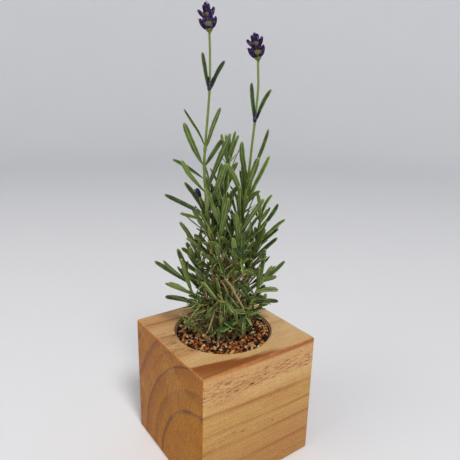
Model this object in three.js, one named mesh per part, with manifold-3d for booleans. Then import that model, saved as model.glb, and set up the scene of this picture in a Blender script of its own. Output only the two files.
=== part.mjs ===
// Potted lavender: a 100 mm cube of softwood with a round blind bore, a thin plastic liner cup,
// potting mix, and a young lavender plant with two flower spikes. Millimetres, +Z up.
// The origin is the middle of the block's underside; -X is the end-grain face, -Y the side-grain face.
//
// The plant is written in its own frame: u to the right, w away and z up, as seen from the corner
// of the block that faces the viewer. PLANT_TURN turns that frame into the block's.
import * as THREE from 'three';
import { ConvexGeometry } from 'three/addons/geometries/ConvexGeometry.js';
import { mergeVertices } from 'three/addons/utils/BufferGeometryUtils.js';
import Module from 'manifold-3d';

const wasm = await Module();
wasm.setup();

// ---------- sizes ----------
const BLOCK = 100;            // side of the cube
const ARRIS = 1.2;            // flat taken off every edge of the cube
const BORE_RADIUS = 37.5;
const BORE_FLOOR = 18;        // height of the bore's floor
const FIT = 0.3;              // air between pieces that touch
const HOLE_AIR = 0.45;        // added to a stem's corner radius for the hole it stands in
const LINER_WALL = 0.8;
const LINER_RIM = 99;         // the liner stops 1 mm below the top of the block
const ROUND_SIDES = 48;       // sides of the bore and the liner
const SOIL_TOP = 97.2;        // mean height of the potting mix
const SOIL_ROUGH = 0.95;      // how far its lumps stand above and below that
const SOIL_RINGS = 7;
const SOIL_SECTORS = 28;
const FINE = 0.02;            // edges shorter than this are closed up
const PLANT_TURN = -35.8;     // degrees about z, from the plant's frame to the block's

const STEM_LENGTHS = 10;      // straight lengths in a flowering stem
const SHOOT_LENGTHS = 6;      // straight lengths in every other shoot and twig
const LEAF_STATIONS = [0, 0.35, 0.78, 1]; // share of a leaf's length at each cross-section
const LEAF_WIDTHS = [0.28, 0.86, 0.97];     // share of its width at the first three
const LEAF_TOP = 0.15;        // the blade's edges above its centre line, and its keel below
const LEAF_KEEL = 0.75;
const LEAF_GAP = 0.45;        // least air between a leaf and any other shoot
const FLOOR_IN = 98.5;        // lowest a leaf may hang over the mix, and over the wood
const FLOOR_OUT = 100.6;

const COLOURS = {
  wood: 0xc89a5e, liner: 0xd9d6cc, mix: 0x6e4426, twig: 0xa98a58,
  stem: 0x6f8a45, leaf: 0x567a3c, flower: 0x3d2a66,
};

// ---------- the plant's layout, measured from the photograph in the plant's frame ----------
// Every shoot: name, path of its stem, radius at base and tip, rule for its leaf pairs, and the
// leaves whose tips show on the outline.
// Rule: pairs, first and last place along the stem, first azimuth, turn per pair, then from the
// lowest pair to the highest: length, spread from the stem, bend; and width.
// Tip: height where the leaf leaves the stem, tip (u, w, z), bend, width.
const SHOOTS = [
  { name: 'flowering_stem_left', radius: [1.6, 0.95],
    path: [[-4, 0, 88], [-9.2, 0, 154], [-12.4, -1, 190], [-15.2, -2, 222], [-14.4, -2, 243],
      [-12.1, -1, 276], [-12, 0, 300], [-12.8, 0, 318]],
    rule: [11, 0.06, 0.43, 185, 84, 25, 34, 70, 36, 20, 12, 3.9],
    tips: [[276, -17.1, 3, 301.4, -14, 3.1], [276, -2.3, 4, 296.2, 18, 3.1],
      [239, -29.9, 5, 264.6, 10, 2.6], [238, -4.4, -6, 266.2, -4, 3.2],
      [226, -28.4, -8, 256, -26, 4.6], [226, -3, 7, 244.6, 6, 3.4],
      [217, -38, 3, 230, 20, 3.3], [207, -29.9, -11, 231.4, -12, 4.2],
      [207, 2.6, -11, 250, 10, 4.6], [190, -44.3, 4, 204.2, 14, 3.6],
      [194, 0.2, -14, 230.7, 4, 4.8], [186, -31.8, -9, 194.1, 6, 4.4],
      [186, -20, -15, 199.5, -6, 3.6]] },
  { name: 'flowering_stem_right', radius: [1.6, 0.95],
    path: [[3, 0, 88], [5.9, 0, 148], [8.5, 0, 164], [12.1, 0, 191], [16, 0, 222], [17.6, 0, 241],
      [19, 0, 257], [20.4, 0, 278], [20, 0, 290], [19.3, 0, 302]],
    rule: [11, 0.06, 0.45, 340, 84, 24, 34, 70, 36, 20, 12, 3.9],
    tips: [[256, 16.1, 4, 282.6, -10, 3.2], [256, 29.7, 5, 278.7, 14, 3.2],
      [217, 29.1, 5, 252.4, -16, 2.8], [214, 10.5, -8, 244.4, 0, 4.7],
      [209, 22.1, -7, 234, -6, 4.5], [200, 30.6, 5, 234, -14, 3.1],
      [200, 0.2, -15, 230.9, 8, 4.3], [198, 23.5, -12, 212, 10, 4.2],
      [197, 12, 16, 228, 8, 3.8]] },
  { name: 'shoot_centre_back', radius: [1.3, 0.75],
    path: [[0, 7, 88], [-1, 8, 140], [-1, 8, 190], [1, 7, 228]],
    rule: [14, 0.1, 0.9, 20, 84, 26, 28, 52, 20, 24, 8, 3.6],
    tips: [[227, -3.8, 8, 248, 0, 2.8], [226, -0.6, 4, 247.9, 0, 2.8],
      [227, 1.6, 12, 247.8, 4, 2.8], [224, 5.8, 2, 250.8, 4, 2.8],
      [226, 6.7, 8, 243.9, 14, 2.8], [222, 8.4, 12, 247, 8, 2.8]] },
  { name: 'shoot_centre_front', radius: [1.3, 0.75],
    path: [[-2, -6, 88], [-4, -9, 130], [-4, -10, 165], [-2, -9, 200]],
    rule: [13, 0.12, 0.98, 60, 86, 26, 34, 58, 14, 26, 6, 4.2],
    tips: [[164, -0.8, -20, 153.5, 10, 3.4], [169, -16, -18, 175, 46, 3.8]] },
  { name: 'shoot_centre_right', radius: [1.3, 0.75],
    path: [[3, -6, 88], [6, -9, 130], [9, -9, 160], [11, -8, 188]],
    rule: [12, 0.13, 0.98, 10, 86, 26, 32, 58, 14, 26, 6, 4],
    tips: [[163, 17, -19, 171, 50, 4], [150, 23, -20, 152, 50, 4]] },
  { name: 'shoot_inner_left', radius: [1.3, 0.75],
    path: [[-6.5, 3.5, 88], [-8, 9, 130], [-9, 11, 165], [-9, 12, 200]],
    rule: [12, 0.12, 0.98, 110, 85, 26, 29, 54, 16, 24, 6, 3.8], tips: [] },
  { name: 'shoot_inner_right', radius: [1.3, 0.75],
    path: [[6, 5, 88], [10, 12, 130], [12, 14, 160], [14, 14, 196]],
    rule: [12, 0.13, 0.98, 80, 85, 26, 29, 54, 16, 24, 6, 3.8], tips: [] },
  { name: 'shoot_tall_right', radius: [1.3, 0.75],
    path: [[8, 1, 88], [15, 4, 130], [22, 4, 160], [26, 3, 186]],
    rule: [9, 0.15, 0.82, 20, 88, 26, 29, 56, 30, 14, 10, 3.6],
    tips: [[184, 33.5, 3, 206, 40, 2.6], [180, 38.6, 6, 198.8, -10, 3.2],
      [183, 22.7, 0, 208.1, 8, 3.2], [172, 38.9, -3, 184, 12, 3.6],
      [166, 40, 10, 178.6, 10, 3.2], [172, 29.2, -10, 190.1, 4, 3.6],
      [158, 29.2, -10, 166.4, 26, 3.4]] },
  { name: 'shoot_low_right', radius: [1.3, 0.85],
    path: [[9, -4, 88], [14, -6, 108], [21, -7, 126], [28, -7, 144]],
    rule: [6, 0.24, 0.7, 16, 86, 24, 24, 60, 44, 12, 10, 4],
    tips: [[141, 45.4, 2, 155.7, 6, 3.6], [141, 38.5, -9, 148, 18, 4],
      [134, 41.8, 4, 131.3, 22, 4.2], [140, 30.3, 4, 164.5, -8, 3.6],
      [138, 34.6, -11, 157, 10, 3.6], [128, 34.1, -15, 131.2, 30, 4],
      [126, 42.9, 9, 119.5, 24, 3.8], [136, 25.4, -15, 157.2, 0, 3.8]] },
  { name: 'shoot_back_right', radius: [1.2, 0.75],
    path: [[9, 8, 88], [15.5, 15, 118], [20, 20.5, 140], [22.5, 23, 156]],
    rule: [8, 0.2, 0.97, 50, 87, 24, 25, 56, 20, 16, 8, 3.8], tips: [] },
  { name: 'shoot_low_left', radius: [1.3, 0.85],
    path: [[-9, -4, 88], [-15, -7, 110], [-21, -8, 127], [-28, -8, 144]],
    rule: [6, 0.24, 0.66, 206, 86, 24, 24, 60, 44, 12, 10, 4],
    tips: [[141, -52.7, 3, 153, 14, 3.8], [141, -44, -9, 158.2, -6, 4.2],
      [138, -35.3, 4, 163, -16, 4.2], [134, -31, -12, 161, -12, 3.4],
      [131, -45.5, 7, 133.6, 16, 3], [132, -40.1, -15, 143.3, 6, 4.6],
      [124, -45.2, 3, 123.8, 20, 4.2], [122, -38.9, -16, 134.3, 0, 4]] },
  { name: 'shoot_mid_left', radius: [1.2, 0.75],
    path: [[-9.5, 1, 88], [-13, 3, 118], [-17, 4, 140], [-20, 3, 154]],
    rule: [6, 0.2, 0.8, 215, 86, 24, 22, 58, 36, 16, 10, 3.6],
    tips: [[150, -28.8, 5, 168.1, -10, 3.8], [150, -25, -7, 168.7, -8, 3.6],
      [152, -18.5, -6, 172.7, 4, 3.4], [142, -33.9, 7, 153.3, 8, 3.4]] },
  { name: 'shoot_back_left', radius: [1.2, 0.75],
    path: [[-8, 8, 88], [-14, 15, 115], [-19, 21, 140], [-22, 24, 158]],
    rule: [8, 0.2, 0.97, 140, 87, 24, 25, 56, 20, 16, 8, 3.8], tips: [] },
  { name: 'shoot_front_left', radius: [1.2, 0.75],
    path: [[-5, -9, 88], [-8, -13, 108], [-11.5, -16.5, 130], [-13.5, -18.5, 148]],
    rule: [8, 0.4, 0.97, 240, 87, 18, 20, 62, 26, 24, 12, 3.8],
    tips: [[147, -3.6, -24, 134, 16, 4.4], [114, -8.2, -22, 107.5, 30, 3.2],
      [116, -19.7, -22, 118, -10, 3.4], [134, -22.5, -22, 128, 24, 3.8]] },
  { name: 'shoot_front_middle', radius: [1.2, 0.75],
    path: [[0, -10, 88], [2, -15, 113], [2, -18, 133], [1, -19, 149]],
    rule: [8, 0.42, 0.97, 290, 86, 20, 22, 62, 22, 24, 10, 3.8],
    tips: [[134, -12.2, -27, 121.5, -10, 4], [131, -1.4, -27, 118.5, 20, 3.6], [133, 7.4, -26, 126.5, 10, 3.6],
      [141, 11.6, -24, 129.5, 12, 4], [146, 16, -23, 138, 24, 4], [113, 8.4, -23, 119.5, -14, 3.6]] },
  { name: 'shoot_front_right', radius: [1.2, 0.75],
    path: [[5, -10, 88], [10, -14, 104], [14, -17, 115], [17, -20, 123]],
    rule: [6, 0.5, 0.97, 310, 87, 15, 17, 62, 28, 20, 12, 3.6],
    tips: [[121, 14.6, -27, 113.5, 20, 3.8], [121, 25.8, -24, 126, -10, 3.4], [109, -1, -21, 111, 14, 3.8]] },
  { name: 'shoot_back_middle', radius: [1.2, 0.75],
    path: [[1, 12, 88], [1, 20, 118], [2, 26, 140], [3, 30, 158]],
    rule: [9, 0.2, 0.97, 80, 87, 24, 25, 58, 20, 20, 8, 3.8], tips: [] },
  { name: 'shoot_back_low', radius: [1.1, 0.75],
    path: [[-3, 12, 88], [-5, 20, 104], [-8, 28, 113], [-11, 34, 120]],
    rule: [6, 0.36, 0.96, 100, 87, 20, 20, 62, 26, 16, 8, 3.8], tips: [] },
  { name: 'shoot_skirt_left', radius: [1.1, 0.75],
    path: [[-11, -7, 88], [-16, -11, 102], [-23, -13, 109], [-30, -14, 115]],
    rule: [5, 0.56, 0.96, 200, 87, 13, 14, 58, 28, 12, 8, 3.2], tips: [[109, -31.2, -20, 116.5, 10, 3.4]] },
  { name: 'shoot_skirt_right', radius: [1.1, 0.75],
    path: [[12, 4, 88], [18, 7, 102], [25, 10, 110.5], [31.5, 12.3, 117]],
    rule: [5, 0.56, 0.96, 32, 87, 13, 14, 58, 28, 12, 8, 3.2], tips: [] },
];

// Bare dry twigs of last year: path, radius at base and tip.
const TWIGS = [
  { name: 'dry_twig_left', path: [[-13.5, -2, 88], [-18, -1.5, 103], [-26, -3, 110], [-34, -2, 112.5]],
    radius: [1.1, 0.7] },
  { name: 'dry_twig_front', path: [[-9, -13.5, 88], [-11, -18, 99], [-13, -23, 106], [-14, -27, 108]],
    radius: [1.1, 0.8] },
  { name: 'dry_twig_middle', path: [[-4, -14.5, 88], [-2.5, -19, 108], [-0.3, -21.5, 128], [-5, -22.5, 150]],
    radius: [1.1, 0.8] },
  { name: 'dry_twig_right', path: [[12.5, -8, 88], [15.5, -11.5, 118], [8.5, -16, 136], [3, -16.8, 146]],
    radius: [1.0, 0.7] },
];

// Flower heads: the stem each sits on, its foot and top, and its whorls.
// Whorl: height up the head, buds, first azimuth, length, spread, bend, width.
const WHORLS = [
  [1.8, 6, 15, 8.8, 42, -28, 2.5],
  [8, 6, 45, 7.6, 50, -24, 2.5],
  [11.6, 5, 20, 6.4, 24, -10, 2.3],
];
const HEADS = [
  { name: 'flower_head_left', shoot: 'flowering_stem_left', foot: [-12.4, 0, 312.6], top: [-14.8, 0, 331] },
  { name: 'flower_head_right', shoot: 'flowering_stem_right', foot: [19.8, 0, 296], top: [16.8, 0, 313.4] },
];
const HEAD_CORE = 2.2;
const BRACTS = { count: 5, below: 1.2, length: 4.6, spread: 62, bend: -10, width: 3.4 };

// Buds in the leaf axils: foot, tips of their prongs, width.
const AXIL_BUDS = [
  { name: 'axil_buds_left', foot: [-12.2, -2.4, 277.6], tips: [[-13.2, -2.8, 285], [-10.2, -2.9, 284.6]],
    width: 1.5 },
  { name: 'axil_buds_right', foot: [19, -1.55, 257.6], tips: [[18.2, -2.05, 264.6], [21.2, -2.1, 264]],
    width: 1.5 },
  { name: 'side_bud', foot: [-15.1, -2.45, 200.5], tips: [[-20.3, -4.4, 207.5]], width: 2.5 },
];

// Where a leaf will not clear its neighbours, these are tried in turn: turn in azimuth, change of
// spread, and share of the length.
const TRIES = [[0, 0, 1], [14, 0, 1], [-14, 0, 1], [0, -9, 1], [0, 9, 1], [28, 0, 1], [-28, 0, 1],
  [0, 0, 0.8], [20, -9, 0.8], [-20, -9, 0.8], [0, -16, 0.8], [42, 0, 0.8], [-42, 0, 0.8],
  [0, 12, 0.8], [0, 0, 0.62], [26, 0, 0.62], [-26, 0, 0.62]];

// ---------- small vector helpers on [x, y, z] ----------
const rad = (degrees) => degrees * Math.PI / 180;
const add = (a, b, k = 1) => [a[0] + b[0] * k, a[1] + b[1] * k, a[2] + b[2] * k];
const sub = (a, b) => add(a, b, -1);
const dot = (a, b) => a[0] * b[0] + a[1] * b[1] + a[2] * b[2];
const cross = (a, b) => [a[1] * b[2] - a[2] * b[1], a[2] * b[0] - a[0] * b[2], a[0] * b[1] - a[1] * b[0]];
const size = (a) => Math.sqrt(dot(a, a));
const unit = (a) => add([0, 0, 0], a, 1 / size(a));
const mix = (a, b, t) => a + (b - a) * t;

// A repeatable stream of draws between -1 and 1.
class Draws {
  constructor(seed) {
    this.state = (seed * 7919 + 104729) % 4294967296;
    for (let i = 0; i < 3; i += 1) this.next();
  }

  next() {
    this.state = (this.state * 1664525 + 1013904223) % 4294967296;
    return this.state / 2147483648 - 1;
  }
}

// ---------- closed bodies ----------
function manifold(positions, triangles) {
  return new wasm.Manifold(new wasm.Mesh({
    numProp: 3, vertProperties: Float32Array.from(positions.flat()),
    triVerts: Uint32Array.from(triangles.flat()),
  }));
}

// Joins bodies into one, with any hollow that the joining seals filled.
function fuse(bodies) {
  const shells = wasm.Manifold.union(bodies).decompose();
  return shells.reduce((largest, shell) => (shell.volume() > largest.volume() ? shell : largest));
}

// A body through cross-sections of equal count, each counter-clockwise about the way onward; it
// ends in a flat cap, or in a point.
function loft(sections, point = null) {
  const n = sections[0].length;
  const triangles = [];
  for (let k = 0; k + 1 < sections.length; k += 1) {
    for (let i = 0; i < n; i += 1) {
      const a = k * n + i;
      const b = k * n + (i + 1) % n;
      triangles.push([a, b, b + n], [a, b + n, a + n]);
    }
  }
  for (let i = 1; i + 1 < n; i += 1) triangles.push([0, i + 1, i]);
  const last = (sections.length - 1) * n;
  const positions = sections.flat();
  if (point) {
    for (let i = 0; i < n; i += 1) triangles.push([last + i, last + (i + 1) % n, positions.length]);
    positions.push(point);
  } else {
    for (let i = 1; i + 1 < n; i += 1) triangles.push([last, last + i, last + i + 1]);
  }
  return manifold(positions, triangles);
}

function fromGeometry(geometry) {
  geometry.deleteAttribute('normal');
  geometry.deleteAttribute('uv');
  const merged = mergeVertices(geometry, 1e-5);
  return new wasm.Manifold(new wasm.Mesh({
    numProp: 3, vertProperties: Float32Array.from(merged.attributes.position.array),
    triVerts: Uint32Array.from(merged.index.array),
  }));
}

// ---------- stems ----------
// Points of a Catmull-Rom curve through the given points, its ends carried straight on.
function curve(points, lengths) {
  const way = points.map((p) => new THREE.Vector3(...p));
  const spline = new THREE.CatmullRomCurve3(way, false, 'catmullrom', 0.5);
  return Array.from({ length: lengths + 1 }, (_, i) => spline.getPoint(i / lengths).toArray());
}

// Two directions square to a way; the first lies as near to +u as it can.
function sideways(way) {
  const first = unit(sub([1, 0, 0], add([0, 0, 0], way, way[0])));
  return [first, cross(way, first)];
}

function polygon(centre, way, radius, sides, turn) {
  const [e1, e2] = sideways(way);
  return Array.from({ length: sides }, (_, i) => {
    const angle = turn + i * 2 * Math.PI / sides;
    return add(add(centre, e1, radius * Math.cos(angle)), e2, radius * Math.sin(angle));
  });
}

class Stem {
  constructor(path, radius, lengths) {
    this.points = curve(path, lengths);
    this.radius = radius;
    this.last = lengths;
    this.lengths = [0];
    for (let i = 0; i < lengths; i += 1) {
      this.lengths.push(this.lengths[i] + size(sub(this.points[i + 1], this.points[i])));
    }
  }

  radiusAt(station) {
    return mix(this.radius[0], this.radius[1], station / this.last);
  }

  // Point and way on the stem's straight lengths, given a value in a rising list.
  on(list, value) {
    let k = 0;
    while (k < this.last - 1 && list[k + 1] <= value) k += 1;
    const step = sub(this.points[k + 1], this.points[k]);
    return [add(this.points[k], step, (value - list[k]) / (list[k + 1] - list[k])), unit(step)];
  }

  atShare(share) {
    return this.on(this.lengths, share * this.lengths[this.last]);
  }

  atHeight(height) {
    return this.on(this.points.map((p) => p[2]), height);
  }

  // A square stalk; a wider one, carried on below its foot, cuts its hole.
  body(wider = 0, deeper = 0) {
    const sections = this.points.map((point, i) => {
      const before = this.points[Math.max(i - 1, 0)];
      const after = this.points[Math.min(i + 1, this.last)];
      const way = unit(sub(after, before));
      const centre = i === 0 ? add(point, way, -deeper) : point;
      return polygon(centre, way, this.radiusAt(i) + wider, 4, Math.PI / 4);
    });
    return loft(sections);
  }
}

// ---------- leaves ----------
// The centre line of a leaf is an arc. It leaves the stem at `spread` from the stem's way, on the
// side `azimuth`, and turns by `bend` along its length; the blade turns about it by `twist`.
function leafFrames(leaf) {
  const [e1, e2] = sideways(leaf.way);
  const out = add(add([0, 0, 0], e1, Math.cos(leaf.azimuth)), e2, Math.sin(leaf.azimuth));
  const bend = Math.abs(leaf.bend) > 1e-3 ? leaf.bend : 1e-3;
  const across = cross(leaf.way, out);
  return LEAF_STATIONS.map((t) => {
    const angle = leaf.spread + bend * t;
    const along = (Math.sin(angle) - Math.sin(leaf.spread)) / bend;
    const aside = (Math.cos(leaf.spread) - Math.cos(angle)) / bend;
    const point = add(add(leaf.root, leaf.way, leaf.length * along), out, leaf.length * aside);
    const onward = add(add([0, 0, 0], leaf.way, Math.cos(angle)), out, Math.sin(angle));
    const inner = cross(onward, across);
    const twist = leaf.twist * (1 - (1 - t) ** 3);
    const side = add(add([0, 0, 0], across, Math.cos(twist)), inner, Math.sin(twist));
    return { point, side, face: cross(onward, side) };
  });
}

// A keeled blade: two edges and the keel at three stations, and a point.
function leafBody(leaf) {
  const frames = leafFrames(leaf);
  const sections = LEAF_WIDTHS.map((share, k) => {
    const { point, side, face } = frames[k];
    const half = leaf.width * share / 2;
    const top = add(point, face, LEAF_TOP);
    return [add(top, side, half), add(top, side, -half), add(point, face, -LEAF_KEEL)];
  });
  return loft(sections, frames[3].point);
}

// Rounded rods that cover the blade, two beside each other along its length: two ends, radius, and
// whether the rod lies clear of the leaf's own stem.
function leafRods(leaf) {
  const frames = leafFrames(leaf);
  const offsets = [0.12, 0.22, 0.25, 0.16];
  const radii = [0.17, 0.24, 0.24];
  const rods = [];
  for (const sign of [-1, 1]) {
    const line = frames.map((f, k) => add(f.point, f.side, sign * offsets[k] * leaf.width));
    for (let k = 0; k < 3; k += 1) rods.push([line[k], line[k + 1], radii[k] * leaf.width, k > 0]);
  }
  return rods;
}

// ---------- clearance ----------
// Least distance between two straight lengths.
function distance(p1, q1, p2, q2) {
  const d1 = sub(q1, p1);
  const d2 = sub(q2, p2);
  const r = sub(p1, p2);
  const a = dot(d1, d1);
  const e = dot(d2, d2);
  const f = dot(d2, r);
  const c = dot(d1, r);
  const b = dot(d1, d2);
  const clamp = (x) => Math.min(1, Math.max(0, x));
  const den = a * e - b * b;
  let s = den > 1e-9 ? clamp((b * f - c * e) / den) : 0;
  const t = (b * s + f) / e;
  if (t < 0) s = clamp(-c / a);
  if (t > 1) s = clamp((b - c) / a);
  return size(sub(add(p1, d1, s), add(p2, d2, clamp(t))));
}

class Clearance {
  constructor() {
    this.rods = [];
  }

  add(owner, rods) {
    for (const [p, q, radius, outer] of rods) {
      const reach = size(sub(q, p)) / 2 + radius;
      this.rods.push({ owner, p, q, radius, outer, middle: add(p, sub(q, p), 0.5), reach });
    }
  }

  // Leaves of one shoot may touch near their roots only, and need no air further out.
  clear(owner, rods) {
    return rods.every(([p, q, radius, outer]) => {
      const middle = add(p, sub(q, p), 0.5);
      const reach = size(sub(q, p)) / 2 + radius;
      return this.rods.every((other) => {
        const own = other.owner === owner;
        if (own && !(outer && other.outer)) return true;
        const air = own ? 0 : LEAF_GAP;
        return size(sub(other.middle, middle)) >= reach + other.reach + air
          || distance(p, q, other.p, other.q) >= radius + other.radius + air;
      });
    });
  }
}

function aboveFloor(leaf) {
  return leafFrames(leaf).every(({ point, side }) => {
    const floor = Math.hypot(point[0], point[1]) < 33 ? FLOOR_IN : FLOOR_OUT;
    return point[2] - Math.abs(side[2]) * leaf.width / 2 - 0.4 >= floor;
  });
}

// Places a leaf, or the first of its variants that clears the rest; a leaf with no room is left out.
function place(leaf, owner, space, leaves) {
  for (const [turn, lean, share] of TRIES) {
    const variant = { ...leaf, azimuth: leaf.azimuth + rad(turn), spread: leaf.spread + rad(lean),
      length: leaf.length * share };
    const rods = leafRods(variant);
    if (aboveFloor(variant) && space.clear(owner, rods)) {
      space.add(owner, rods);
      leaves.push({ ...variant, owner });
      return;
    }
  }
}

// A leaf from its height on the stem to a measured tip.
function leafToTip(stem, [height, u, w, z, bendDegrees, width]) {
  const [root, way] = stem.atHeight(height);
  const [e1, e2] = sideways(way);
  const reach = sub([u, w, z], root);
  const bend = rad(bendDegrees);
  const chord = size(reach);
  const spread = Math.atan2(Math.hypot(dot(reach, e1), dot(reach, e2)), dot(reach, way)) - bend / 2;
  const azimuth = Math.atan2(dot(reach, e2), dot(reach, e1));
  const length = bend === 0 ? chord : chord * (bend / 2) / Math.sin(bend / 2);
  const twist = rad(50) * Math.cos(azimuth) * (Math.sin(azimuth) > 0 ? 1 : -1);
  return { root, way, azimuth, spread, bend, length, width, twist };
}

// One leaf of the pair at step `k` of a shoot's rule.
function leafByRule(stem, rule, k, side, draws) {
  const [pairs, from, to, first, turn, l0, l1, s0, s1, b0, b1, width] = rule;
  const t = k / (pairs - 1);
  const j = Array.from({ length: 5 }, () => draws.next());
  const [root, way] = stem.atShare(from + (to - from) * t ** 0.85);
  return { root, way, azimuth: rad(first + turn * k + 180 * side + 12 * j[0]),
    spread: rad(mix(s0, s1, t) + 6 * j[1]), bend: rad(mix(b0, b1, t) + 10 * j[2]),
    length: mix(l0, l1, t) * (1 + 0.1 * j[3]), width, twist: rad(60 * j[4]) };
}

// Grows every leaf: measured tips first, then the pairs, one step of every shoot at a time.
function growLeaves(stems, space) {
  const leaves = [];
  SHOOTS.forEach((shoot, i) => {
    shoot.tips.forEach((tip) => place(leafToTip(stems[i], tip), i, space, leaves));
  });
  const draws = SHOOTS.map((_, i) => new Draws(i + 1));
  const steps = Math.max(...SHOOTS.map((shoot) => shoot.rule[0]));
  for (let k = 0; k < steps; k += 1) {
    SHOOTS.forEach((shoot, i) => {
      if (k >= shoot.rule[0]) return;
      for (const side of [0, 1]) {
        place(leafByRule(stems[i], shoot.rule, k, side, draws[i]), i, space, leaves);
      }
    });
  }
  return leaves;
}

// ---------- flowers ----------
// A spindle-shaped bud on an arc from `root`, five-sided.
function budBody(root, way, azimuth, spread, bend, length, width) {
  const [e1, e2] = sideways(way);
  const out = add(add([0, 0, 0], e1, Math.cos(azimuth)), e2, Math.sin(azimuth));
  const at = (t) => {
    const angle = spread + bend * t;
    const b = Math.abs(bend) > 1e-3 ? bend : 1e-3;
    const along = (Math.sin(spread + b * t) - Math.sin(spread)) / b;
    const aside = (Math.cos(spread) - Math.cos(spread + b * t)) / b;
    return [add(add(root, way, length * along), out, length * aside),
      add(add([0, 0, 0], way, Math.cos(angle)), out, Math.sin(angle))];
  };
  const sections = [[0.08, 0.55], [0.6, 1]].map(([t, share]) => {
    const [point, onward] = at(t);
    return polygon(point, onward, width / 2 * share, 5, 0);
  });
  return loft(sections, at(1)[0]);
}

function straightBud(foot, tip, width) {
  const way = unit(sub(tip, foot));
  return budBody(foot, way, 0, 0, 0, size(sub(tip, foot)), width);
}

function headBody(head, stem) {
  const way = unit(sub(head.top, head.foot));
  const core = [[0.8, 0.75], [3, 1], [10.5, 0.95], [14, 0.6]].map(([height, share]) => (
    polygon(add(head.foot, way, height), way, HEAD_CORE * share, 8, 0)));
  const bodies = [loft(core)];
  for (const [height, count, first, length, spread, bend, width] of WHORLS) {
    for (let i = 0; i < count; i += 1) {
      const azimuth = rad(first + i * 360 / count);
      const [e1, e2] = sideways(way);
      const centre = add(head.foot, way, height);
      const root = add(add(centre, e1, Math.cos(azimuth)), e2, Math.sin(azimuth));
      bodies.push(budBody(root, way, azimuth, rad(spread), rad(bend), length, width));
    }
  }
  return fuse(bodies).subtract(stem.body(HOLE_AIR));
}

// The ring of green bracts that cups the foot of a head; they grow from the stem.
function bractBodies(head) {
  const way = unit(sub(head.top, head.foot));
  return Array.from({ length: BRACTS.count }, (_, i) => leafBody({
    root: add(head.foot, way, -BRACTS.below), way, azimuth: rad(30 + i * 360 / BRACTS.count),
    spread: rad(BRACTS.spread), bend: rad(BRACTS.bend), length: BRACTS.length, width: BRACTS.width, twist: 0,
  }));
}

// ---------- pot and mix ----------
function cylinder(radius, from, to, sides) {
  const body = new THREE.CylinderGeometry(radius, radius, to - from, sides, 1);
  body.rotateX(Math.PI / 2);
  body.translate(0, 0, (from + to) / 2);
  return fromGeometry(body);
}

function blockBody() {
  const half = BLOCK / 2;
  const corners = [];
  for (const x of [-1, 1]) {
    for (const y of [-1, 1]) {
      for (const z of [-1, 1]) {
        for (const flat of [0, 1, 2]) {
          const reach = [half, half, half].map((value, axis) => (axis === flat ? value : value - ARRIS));
          corners.push(new THREE.Vector3(x * reach[0], y * reach[1], half + z * reach[2]));
        }
      }
    }
  }
  const cube = fromGeometry(new ConvexGeometry(corners));
  return cube.subtract(cylinder(BORE_RADIUS, BORE_FLOOR, BLOCK + 5, ROUND_SIDES));
}

function linerBody() {
  const outer = cylinder(BORE_RADIUS - FIT, BORE_FLOOR + FIT, LINER_RIM, ROUND_SIDES);
  const inner = cylinder(BORE_RADIUS - FIT - LINER_WALL, BORE_FLOOR + FIT + 1, LINER_RIM + 5, ROUND_SIDES);
  return outer.subtract(inner);
}

// A disc whose top is a net of lumps at drawn heights; every stem gets a plain hole.
function mixBody(holes) {
  const radius = BORE_RADIUS - 2 * FIT - LINER_WALL;
  const floor = BORE_FLOOR + 2 * FIT + 1;
  const draws = new Draws(97);
  const points = [[0, 0, SOIL_TOP]];
  for (let ring = 1; ring <= SOIL_RINGS; ring += 1) {
    for (let i = 0; i < SOIL_SECTORS; i += 1) {
      const shift = ring < SOIL_RINGS ? draws.next() * 0.3 : 0;
      const angle = (i + (ring % 2) / 2 + shift * 0.6) * 2 * Math.PI / SOIL_SECTORS;
      const reach = radius * (ring + shift) / SOIL_RINGS;
      points.push([reach * Math.cos(angle), reach * Math.sin(angle), SOIL_TOP + SOIL_ROUGH * draws.next()]);
    }
  }
  const id = (ring, i) => 1 + (ring - 1) * SOIL_SECTORS + i % SOIL_SECTORS;
  const triangles = [];
  for (let i = 0; i < SOIL_SECTORS; i += 1) {
    triangles.push([0, id(1, i), id(1, i + 1)]);
    for (let ring = 1; ring < SOIL_RINGS; ring += 1) {
      const [a, b, c, d] = [id(ring, i), id(ring, i + 1), id(ring + 1, i), id(ring + 1, i + 1)];
      if (ring % 2) triangles.push([a, c, b], [b, c, d]);
      else triangles.push([a, c, d], [a, d, b]);
    }
  }
  const rim = id(SOIL_RINGS, 0);
  const foot = points.length;
  for (let i = 0; i < SOIL_SECTORS; i += 1) points.push([points[rim + i][0], points[rim + i][1], floor]);
  points.push([0, 0, floor]);
  for (let i = 0; i < SOIL_SECTORS; i += 1) {
    const j = (i + 1) % SOIL_SECTORS;
    triangles.push([rim + i, foot + i, foot + j], [rim + i, foot + j, rim + j]);
    triangles.push([foot + SOIL_SECTORS, foot + j, foot + i]);
  }
  return manifold(points, triangles).subtract(wasm.Manifold.union(holes));
}

// ---------- assembly ----------
function mesh(name, body, colour, roughness) {
  if (body.isEmpty() || body.volume() <= 0) throw new Error(`${name} is not a closed body`);
  const { vertProperties, triVerts } = body.simplify(FINE).getMesh();
  const geometry = new THREE.BufferGeometry();
  geometry.setAttribute('position', new THREE.BufferAttribute(vertProperties, 3));
  geometry.setIndex(new THREE.BufferAttribute(triVerts, 1));
  geometry.computeVertexNormals();
  const material = new THREE.MeshStandardMaterial({ color: colour, roughness, flatShading: true });
  const made = new THREE.Mesh(geometry, material);
  made.name = name;
  return made;
}

const stemRods = (stem) => stem.points.slice(1).map((point, i) => (
  [stem.points[i], point, stem.radiusAt(i + 0.5)]));

const group = new THREE.Group();
group.name = 'potted_lavender';
const plant = new THREE.Group();
plant.name = 'plant';
plant.rotation.z = rad(PLANT_TURN);
group.add(plant);

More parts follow.
